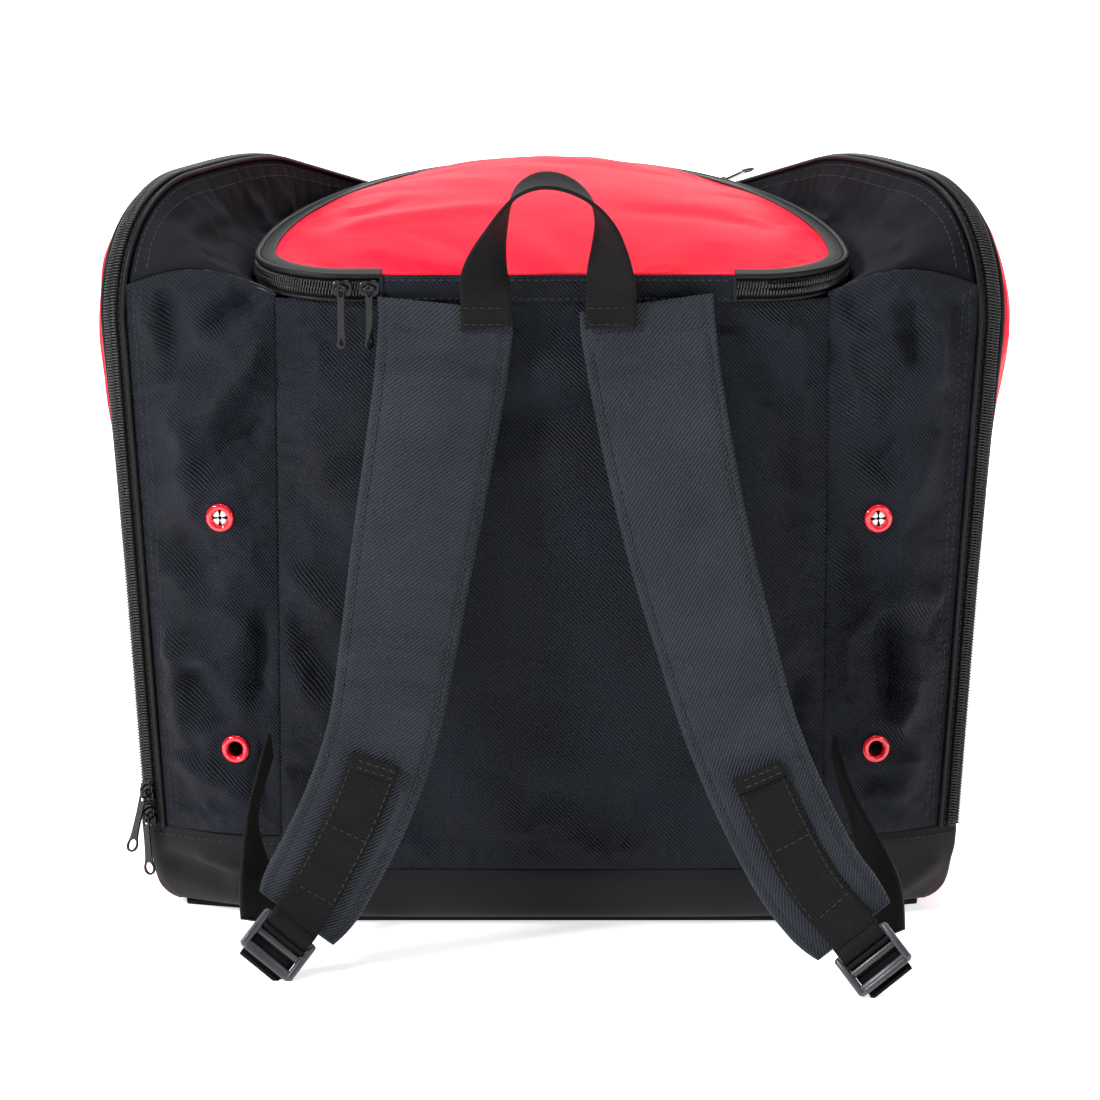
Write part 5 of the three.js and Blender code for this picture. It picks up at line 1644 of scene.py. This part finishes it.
def pad_ring(point, across, outward, half, thick, height):
    """One ring of the pad: a crowned face, seams turned in at its edges, and a flatter back."""
    turn = full_turn(56)
    c, s = np.cos(turn), np.sin(turn)
    a = np.sign(c) * np.abs(c) ** 0.35 * half
    b = np.sign(s) * np.abs(s) ** 0.75 * thick
    edge = np.exp(-(((half - np.abs(a)) - SEAM_INSET) / 1.5) ** 2)
    front = (s > 0.05).astype(float)
    b = b - SEAM_DEPTH * edge * front
    b = b + front * height(a / half) * smooth(half - np.abs(a), 0, 7)
    return point + a[:, None] * across + b[:, None] * outward


def strap_height(name, share):
    def height(across):
        total = 0.45 * wobble(np.asarray(across) * 26, np.full_like(across, share * 330), 24, 61 + len(name))
        bow = 0.016 * across * across + 0.012 * across * -SIDES[name]
        for at, width, high in STRAP_FOLDS[name]:
            ridge = np.exp(-(((share - at - bow) / width) ** 2)) * (1 - 0.45 * across**2)
            total = total + STRAP_FOLD_GAIN * high * ridge
        return total

    return height


def add_strap(name):
    body = name + "_strap"
    curve = through(STRAPS[name]["line"])
    shares = np.linspace(PAD_TOP, 1, 190)
    rings, rows, sizes = [], [], []
    for share in shares:
        point, _, across, outward = strap_frame(curve, share * PAD_END)
        end = max(0.0, share - 0.94) / 0.06
        half = pad_width(max(share, 0)) / 2 * (1 - 0.12 * end * end)
        thick = float(pad_half_thick(share)) * (1 - 0.45 * end * end)
        rings.append(pad_ring(point, across, outward, half, thick, strap_height(name, share)))
        rows.append((point, across, outward))
        sizes.append((half, thick))
    rings = np.array(rings)
    side = rings[60] - rings[60].mean(axis=0)
    u = side @ rows[60][1]
    v = np.concatenate([[0], np.cumsum(np.linalg.norm(np.diff(rings.mean(axis=1), axis=0), axis=1))])
    uvs = np.stack(np.meshgrid(-v, u, indexing="ij")[::-1], -1).reshape(-1, 2)
    pad = ring_mesh(name + "_strap_pad", rings, STRAP_CLOTH, uvs=uvs)
    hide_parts(name + "_shoulder_strap")
    top = curve.read(0.0) * MM
    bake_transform(pad)
    for sign, word in ((-1, "inner"), (1, "outer")):
        edge, away = [], []
        for (point, across, outward), (half, thick), share in zip(rows, sizes, shares):
            if share < 0.03 or share > 0.985:
                continue
            height = strap_height(name, share)(np.array([sign * (half - SEAM_INSET) / half]))[0]
            lift = thick * 0.93 - SEAM_DEPTH + height * smooth(SEAM_INSET, 0, 7)
            edge.append(point + across * sign * (half - SEAM_INSET) + outward * lift)
            away.append(outward)
        stitch_row(f"{name}_strap_{word}_stitches", np.array(edge), np.array(away), body)
    add_top_stitches(name, curve, body)
    add_strap_webbing(name, curve, body)
    add_lower_webbing(name, curve)


def add_top_stitches(name, curve, body):
    """Where the pad starts, a row of stitches holds the strap's flat top to the back."""
    point, _, across, outward = strap_frame(curve, 0.012)
    reach = np.linspace(-29, 29, 30)
    line = point + across * reach[:, None] + outward * (PAD_TOP_HALF_THICK + 0.1)
    away = np.broadcast_to(outward, line.shape)
    stitch_row(f"{name}_strap_top_stitches", line, away, body)


WEB_START = 0.66
WEB_END = 0.945


def web_grid(curve, start, end, lift, steps=70, half=WEBBING / 2):
    shares = np.linspace(start, end, steps)
    point, _, across, outward = strap_frame(curve, shares)
    a = np.linspace(-half, half, 13)
    grid = point[:, None] + across[:, None] * a[None, :, None]
    return grid + outward[:, None] * lift


def web_piece(name, grid, inward, body, nodes=()):
    piece = sheet_mesh(name, grid, inward, WEB_THICK, WEBBING_CLOTH)
    weave = piece.data.uv_layers["weave"].data
    uvs = np.zeros(len(piece.data.loops) * 2, dtype=np.float32)
    weave.foreach_get("uv", uvs)
    weave.foreach_set("uv", uvs.reshape(-1, 2)[:, ::-1].ravel())
    if body:
        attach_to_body(piece, body)
    if nodes:
        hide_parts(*nodes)
    return piece


def add_strap_webbing(name, curve, body):
    lift = PAD_HALF_THICK + 0.55 + WEB_THICK
    behind = curve.read(0.8) + np.array((0, 60, 0))
    grid = web_grid(curve, WEB_START, WEB_END, lift)
    web_piece(name + "_strap_web", grid, behind, body, nodes=[name + "_strap_webbing"])
    fold_grid = web_grid(curve, WEB_START - 0.003, WEB_START + 0.022, lift + WEB_THICK * 0.75, 8)
    web_piece(name + "_strap_web_fold", fold_grid, behind, body)
    for k, at in enumerate((WEB_START + 0.006, WEB_START + 0.016, 0.775, 0.88)):
        over = WEB_THICK * 0.75 if k < 2 else 0
        row = web_grid(curve, at, at + 0.001, lift + over, 2, WEBBING / 2 - 1.6)[0]
        _, _, _, outward = strap_frame(curve, at)
        stitch_row(f"{name}_web_cross_{k}", row, np.broadcast_to(outward, row.shape), body)
    for sign, word in ((-1, "inner"), (1, "outer")):
        grid = web_grid(curve, WEB_START + 0.01, 0.88, lift, 60, WEBBING / 2 - 1.9)
        row = grid[:, 0 if sign < 0 else -1]
        _, _, _, outward = strap_frame(curve, np.linspace(WEB_START + 0.01, 0.88, 60))
        stitch_row(f"{name}_web_{word}_stitches", row, outward, body)


# --- buckles ---

BUCKLE_WIDE = 31.0
BUCKLE_TALL = 21.0
BUCKLE_BAR = 3.5
BUCKLE_GAP = 1.7


def buckle_frame(curve):
    point, along, across, outward = strap_frame(curve, 0.94)
    middle = point + outward * (PAD_HALF_THICK + WEB_THICK / 2) + along * (BUCKLE_TALL / 2 + BUCKLE_GAP)
    return middle, across, -along, np.cross(across, -along)


BAR_ENDS = ((0, 0.55), (0.4, 0.86), (1.2, 1.0))  # distance from a bar's end, and its size there
BAR_POWER = 0.6


def rounded_bar(start, end, wide, thick, up):
    """Rings of a bar with rounded corners and rounded ends."""
    along = unit(end - start)
    side = np.cross(up, along)
    turn = full_turn(16)
    c, s = np.cos(turn), np.sin(turn)
    ring = (np.sign(c) * np.abs(c) ** BAR_POWER * wide / 2)[:, None] * side
    ring = ring + (np.sign(s) * np.abs(s) ** BAR_POWER * thick / 2)[:, None] * up
    length = np.linalg.norm(end - start)
    places = [*BAR_ENDS, *((length - at, size) for at, size in BAR_ENDS[::-1])]
    return [start + along * at + ring * size for at, size in places]


def bar_part(rings):
    rings = np.array(rings)
    return rings.reshape(-1, 3), rod_faces(*rings.shape[:2])


def add_buckle(name):
    curve = through(STRAPS[name]["line"])
    middle, across, up, out = buckle_frame(curve)
    x, y = BUCKLE_WIDE / 2, BUCKLE_TALL / 2

    def at(a, b, c=0.0):
        return middle + across * a + up * b + out * c

    edge = BUCKLE_BAR / 2
    bars = []
    for sign in (-1, 1):
        bars.append(rounded_bar(at(sign * (x - edge), -y), at(sign * (x - edge), y), BUCKLE_BAR, 5.2, out))
    for b, wide, high, c in ((y - edge, 4.2, 4.6, 0), (0, 3.4, 3.6, 0.4), (-y + edge, 4.6, 5.0, 0.2)):
        bars.append(rounded_bar(at(-x + 0.6, b, c), at(x - 0.6, b, c), wide, high, out))
    lip = [at(-x + 3, -y + 0.4, -1.2), at(x - 3, -y + 0.4, -1.2)]
    bars.append(rounded_bar(*lip, 3.0, 2.6, out))
    rim = join_meshes(name + "_buckle", [bar_part(bar) for bar in bars], BUCKLE_PLASTIC)
    attach(rim, name + "_buckle", "buckle_plastic", name + "_ladder_buckle")
    add_buckle_webs(name, middle, across, up, out)


def add_buckle_webs(name, middle, across, up, out):
    """The pad's webbing goes round the top bar, and the lower webbing's doubled tail hangs in front."""
    a = np.linspace(-WEBBING / 2 + 0.4, WEBBING / 2 - 0.4, 12)

    def ribbon(path):
        path = through([middle + up * b + out * c for b, c in path], 12).points
        return path[:, None] + across[None, None] * a[None, :, None]

    loop = [
        (15.5, 1.4), (12.5, 2.6), (9.0, 3.6), (5.6, 2.6),
        (4.6, 0.0), (6.0, -2.4), (9.0, -3.6), (12.5, -3.2),
    ]
    web_piece(name + "_buckle_loop", ribbon(loop), middle + up * 8.8, name + "_buckle")
    tail = [
        (4.4, -2.6), (3.6, 1.2), (0.4, 4.0), (-3.6, 3.2),
        (-6.6, 3.9), (-10.5, 4.6), (-13.4, 3.6), (-14.6, 1.6),
    ]
    web_piece(name + "_buckle_tail", ribbon(tail), middle - up * 4 - out * 12, name + "_buckle")


def add_lower_webbing(name, curve):
    spec = STRAPS[name]
    route = through([spec["anchor"], *spec["web_route"]])
    share = np.linspace(0, 1, 70)
    along = route.direction(share)
    _, _, flat, _ = strap_frame(curve, 0.94)
    on_edge = unit(np.cross(np.array((1.0, 0, 0)), along))
    flat = np.where(np.sum(flat * on_edge, axis=1, keepdims=True) < 0, -flat, flat)
    across = lerp(on_edge, flat, smooth(share, 0.25, 1)[:, None])
    across = unit(across - along * np.sum(across * along, axis=1, keepdims=True))
    outward = unit(np.cross(across, along))
    a = np.linspace(-WEBBING / 2, WEBBING / 2, 11)
    grid = route.read(share)[:, None] + across[:, None] * a[None, :, None]
    grid = grid + outward[:, None] * (WEB_THICK / 2)
    piece = web_piece(name + "_lower_web", grid, grid - outward[:, None] * 50, None)
    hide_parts(name + "_lower_webbing")
    end = route.read(0.45) * MM
    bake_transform(piece)


# --- the haul handle ---

HANDLE_LEFT = -31.7
HANDLE_RIGHT = 28.3
HANDLE_FOOT_Z = 301.5
HANDLE_AXIS_Y = -168.2
HANDLE_AXIS_Z = 316.0
HANDLE_RISE = 1.0
HANDLE_LEAN = math.radians(12)

# The loop's middle line, sideways and up in its own leaning plane.
HANDLE_ROUTE = [
    (HANDLE_LEFT, 0), (-32.6, 10.3), (-30.6, 22.3), (-26.8, 33.6), (-22.3, 44.3), (-16.2, 53), (-7, 57.7),
    (3, 57.5), (12.5, 53.4), (20.8, 45.8), (26, 35), (27.6, 23.7), (28, 11.3), (HANDLE_RIGHT, 0),
]
FOOT_STEPS = 14


def handle_rings():
    share = np.linspace(0, 1, 121)
    route = through([(x, 0, z) for x, z in HANDLE_ROUTE])
    point, along = route.read(share), route.direction(share.clip(0.004, 0.996), 0.004)
    rise = np.abs(np.sin(math.pi * share))
    twist = rise**0.85 * (math.pi / 2)
    flat = unit(points_at(along[:, 2], 0, -along[:, 0]))
    across = flat * np.cos(twist)[:, None] + np.array((0, 1.0, 0)) * np.sin(twist)[:, None]
    c, s = math.cos(HANDLE_LEAN), math.sin(HANDLE_LEAN)
    lean = np.array([[1, 0, 0], [0, c, -s], [0, s, c]])
    place = np.array((0, HANDLE_AXIS_Y, HANDLE_AXIS_Z + HANDLE_RISE))
    return point @ lean.T + place, across @ lean.T, rise


def add_handle():
    point, across, arch = handle_rings()
    feet = []
    for end in (0, -1):
        z = np.linspace(HANDLE_FOOT_Z, HANDLE_AXIS_Z - 1, FOOT_STEPS)
        feet.append(points_at(point[end, 0], HANDLE_AXIS_Y, z))
    line = np.concatenate([feet[0], point[2:-2], feet[1][::-1]])
    starts, ends = (np.tile(across[end], (FOOT_STEPS, 1)) for end in (0, -1))
    ways = np.concatenate([starts, across[2:-2], ends])
    for _ in range(4):
        ways[1:-1] = (ways[:-2] + 2 * ways[1:-1] + ways[2:]) / 4
        line[1:-1] = (line[:-2] + 2 * line[1:-1] + line[2:]) / 4
    ways = unit(ways)
    a = np.linspace(-WEBBING / 2, WEBBING / 2, 13)
    cup = 1.2 * (1 - (a / a.max()) ** 2)
    out = unit(np.cross(ways, np.gradient(line, axis=0)))
    rounding = np.concatenate([np.zeros(FOOT_STEPS), arch[2:-2], np.zeros(FOOT_STEPS)])
    grid = line[:, None] + ways[:, None] * a[None, :, None]
    grid = grid + out[:, None] * (cup[None, :] * rounding[:, None])[..., None]
    grid = grid + out[:, None] * (WEB_THICK / 2)
    piece = web_piece("haul_web", grid, grid - out[:, None] * 30, None)
    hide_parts("haul_handle", "left_handle_end", "right_handle_end")
    axis_y, axis_z = HANDLE_AXIS_Y * MM, HANDLE_AXIS_Z * MM
    start, end = (0, axis_y, axis_z - 0.004), (0, axis_y - 0.001, axis_z + 0.006)
    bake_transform(piece)
    for word, x in (("left", HANDLE_LEFT), ("right", HANDLE_RIGHT)):
        for low in (303.6, 311.5):
            reach = np.linspace(-10.5, 10.5, 12)
            row = points_at(x + reach, HANDLE_AXIS_Y - 1.0, low)
            stitch_row(f"handle_{word}_stitches_{round(low)}", row, away_rear(row), "bag")


# --- sliders and pullers ---

SLIDER_LONG = 10.0
SLIDER_WIDE = 8.5
SLIDER_THICK = 2.2
SLIDER_LIFT = 0.9
BAIL_HIGH = 5.0
BAIL_BAR = 1.3
BAIL_FOOT = SLIDER_LIFT + SLIDER_THICK - 0.3
BAR_HEIGHT = BAIL_FOOT + BAIL_HIGH - BAIL_BAR / 2
TIP_HEIGHT = BAIL_FOOT + BAIL_HIGH - BAIL_BAR - 1
TIP_ALONG = SLIDER_LONG / 2 - 1.4 - BAIL_BAR - 1


def outline_plate(outline, holes, thick, frame, bevel):
    """A bevelled plate from a closed outline with holes, in a frame of (origin, x, y, z) directions."""
    origin, x_way, y_way, z_way = frame
    loops = [np.asarray(outline, float)] + [np.asarray(hole, float) for hole in holes]
    curve = bpy.data.curves.new("outline", "CURVE")
    curve.dimensions = "2D"
    curve.fill_mode = "BOTH"
    curve.extrude = thick / 2 - bevel
    curve.bevel_depth = bevel
    curve.bevel_resolution = 2
    curve.offset = -bevel
    for loop in loops:
        spline = curve.splines.new("POLY")
        spline.points.add(len(loop) - 1)
        spline.use_cyclic_u = True
        for point, (a, b) in zip(spline.points, loop):
            point.co = (a, b, 0, 1)
    made = bpy.data.objects.new("outline", curve)
    bpy.context.scene.collection.objects.link(made)
    bpy.context.view_layer.update()
    data = bpy.data.meshes.new_from_object(made.evaluated_get(bpy.context.evaluated_depsgraph_get()))
    bpy.data.objects.remove(made)
    flat = np.zeros(len(data.vertices) * 3)
    data.vertices.foreach_get("co", flat)
    flat = flat.reshape(-1, 3)
    points = origin + flat[:, :1] * x_way + flat[:, 1:2] * y_way + flat[:, 2:] * z_way
    faces = [list(face.vertices) for face in data.polygons]
    bpy.data.meshes.remove(data)
    return points, faces


def oval(cx, cy, rx, ry, count=28):
    turn = full_turn(count)
    return np.stack([cx + rx * np.cos(turn), cy + ry * np.sin(turn)], -1)


def slider_outline():
    half, wide = SLIDER_LONG / 2, SLIDER_WIDE / 2
    turn = full_turn(48)
    x = half * np.cos(turn)
    neck = 1 - 0.22 * np.exp(-(((x - 0.6) / 1.6) ** 2)) - 0.25 * smooth(x, 2.2, 5)
    y = np.sign(np.sin(turn)) * np.abs(np.sin(turn)) ** 0.45 * wide * neck
    return np.stack([x, y], -1)


def add_slider(node, origin, along, out):
    across = np.cross(out, along)
    plate_frame = (origin + out * (SLIDER_LIFT + SLIDER_THICK / 2 - 0.1), along, across, out)
    plate = outline_plate(slider_outline(), [], SLIDER_THICK, plate_frame, 0.5)
    half = SLIDER_LONG / 2 - 1.4 - BAIL_BAR / 2
    high = BAIL_HIGH - BAIL_BAR / 2
    rise = [(-half, 0), (-half, high * 0.55), (-half + 0.7, high * 0.93)]
    path = through([*rise, (0, high + 0.1), *((-x, y) for x, y in rise[::-1])], 6).points
    line = origin + out * BAIL_FOOT + along * path[:, :1] + out * path[:, 1:]
    turn = full_turn(10)
    _, side, away = frames_along(line, np.broadcast_to(across, line.shape))
    ring = side[:, None] * (0.62 * np.cos(turn))[None, :, None]
    ring = ring + away[:, None] * (0.95 * np.sin(turn))[None, :, None]
    bail = bar_part(line[:, None] + ring)
    piece = join_meshes(node + "_body", [plate, bail], BLACK_METAL)
    attach(piece, node + "_body", "zip_metal", node)


PULLER_LONG = 31.0
PULLER_WIDE = 4.6
EYE_HALF = 1.3
EYE_TOP = 1.2
EYE_FOOT = -3.6
LID_PULLER_TURN = math.radians(55)


def puller_outline(ring_end):
    """Down from the eye, a slight waist, and a rounded end; the ring end has a round head."""
    foot = -PULLER_LONG + EYE_TOP + 1 + PULLER_WIDE / 2
    down = np.linspace(0.6, foot, 22)
    share = (down - 0.6) / (foot - 0.6)
    wide = PULLER_WIDE / 2 * (0.92 - 0.12 * np.sin(math.pi * share) + 0.14 * share**3)
    if ring_end:
        wide = wide + 0.85 * np.exp(-(((down - foot - 0.6) / 2.6) ** 2))
    turn = np.linspace(math.pi, 2 * math.pi, 14)[1:-1]
    end = np.stack([wide[-1] * np.cos(turn), foot + wide[-1] * np.sin(turn)], -1)
    head_turn = np.linspace(0, math.pi, 14)[1:-1]
    head = np.stack([wide[0] * np.cos(head_turn), 0.6 + (EYE_TOP + 0.3) * np.sin(head_turn)], -1)
    left = np.stack([-wide, down], -1)
    right = np.stack([wide, down], -1)[::-1]
    return np.concatenate([left, end, right, head]), foot


def add_puller(node, origin, side, up, ring_end):
    outline, foot = puller_outline(ring_end)
    eye_mid, eye_tall = (EYE_TOP + EYE_FOOT) / 2, (EYE_TOP - EYE_FOOT) / 2
    eye = oval(0, eye_mid, EYE_HALF, eye_tall, 24)
    hole = oval(0, foot + 0.6, 2.1, 2.7) if ring_end else oval(0, foot + 0.8, 0.95, 1.6)
    facing = np.cross(side, up)
    points, faces = outline_plate(outline, [eye, hole], 1.2, (origin, side, up, facing), 0.3)
    piece = join_meshes(node + "_tab", [(points, faces)], BLACK_METAL)
    attach(piece, node + "_body", "zip_metal", node)


def add_lid_sliders():
    arc_turn = math.asin((101 - CORNER_CENTRE[0]) / CORNER_RADIUS)
    inner = rim_corner(np.array(0.0))
    inner[0] = 88
    places = (("outer", rim_corner(np.array(arc_turn)), arc_turn), ("inner", inner, 0.0))
    for word, point, turn in places:
        outward = np.array((-math.sin(turn), -math.cos(turn), 0.0))
        along = np.array((-math.cos(turn), math.sin(turn), 0.0))
        point = point * (-1, 1, 1) + outward
        add_slider("lid_slider_" + word, point, along, outward)
        up = np.array((0, 0, 1.0))
        face = unit(outward * math.cos(LID_PULLER_TURN) + along * math.sin(LID_PULLER_TURN))
        add_puller("lid_puller_" + word, point + outward * BAR_HEIGHT, face, up, False)


def add_pod_slider(node, side, along, up, slope, way, tilt):
    point = pod_point(along, plane_at(up), up)
    tangent = unit(slope)
    out_way = np.array((POD_OUT[0], POD_OUT[1], 0.0))
    outward = unit(np.cross(tangent, out_way))
    if outward.dot(point - POD_MIDDLE) < 0:
        outward = -outward
    hang = tangent * way * math.cos(tilt) + outward * math.sin(tilt)
    pivot = point + outward * TIP_HEIGHT + tangent * way * TIP_ALONG
    flip = np.array((side, 1, 1))
    point, pivot, tangent, outward, hang = (v * flip for v in (point, pivot, tangent, outward, hang))
    add_slider(node, point, tangent, outward)
    puller_side = out_way * flip
    puller_side = unit(puller_side + hang * -puller_side.dot(hang))
    add_puller(node.replace("slider", "puller"), pivot, puller_side, -hang, True)


def add_pod_sliders():
    foot = pod_point(ZIP_FOOT_REAR, -ZIP_LEAN, ZIP_FOOT_Z)
    rear_up = pod_point(0.0, 0.0, ZIP_REAR_TOP_Z) - foot
    for word, up, tilt in (("lower", 51.0, 0.0), ("upper", 63.0, math.radians(30))):
        along = ZIP_FOOT_REAR * float(low_share(up))
        add_pod_slider("left_door_slider_" + word, -1, along, up, rear_up, -1, tilt)
    crown = pod_point(SLOPE[0], 0.0, SLOPE[1]) - pod_point(0.0, 0.0, 0.0)
    rearward = CROWN_END - SLOPE * (SLIDER_LONG + 1.5)
    add_pod_slider("right_door_slider_rear", 1, rearward[0], rearward[1], crown, -1, math.radians(4))
    add_pod_slider("right_door_slider_front", 1, CROWN_END[0], CROWN_END[1], crown, 1, math.radians(4))


# --- the frame pieces that stay as they are ---

KEPT = {"base_panel": BASE_CLOTH, "base_board": BOARD, "back_foam": FOAM}
for side_name in SIDES:
    for level in ("upper", "lower"):
        KEPT[f"{side_name}_washer_{level}"] = BLACK_METAL


def dress_kept_nodes():
    for node, material in KEPT.items():
        slots = frame["nodes"][node].material_slots
        if not slots:
            continue
        for slot in slots:
            slot.link = "OBJECT"
            slot.material = material


# --- putting it together ---

add_camera()
add_stage()
add_lights()
add_centre()
add_hinge_band()
for side_name, side in SIDES.items():
    add_pod(side_name, side)
    add_eyelets(side_name, side)
    add_door(side_name, side)
    add_pod_zip(side_name, side)
    add_strap(side_name)
    add_buckle(side_name)
add_lid_zip()
add_lid()
add_handle()
add_lid_sliders()
add_pod_sliders()
dress_kept_nodes()
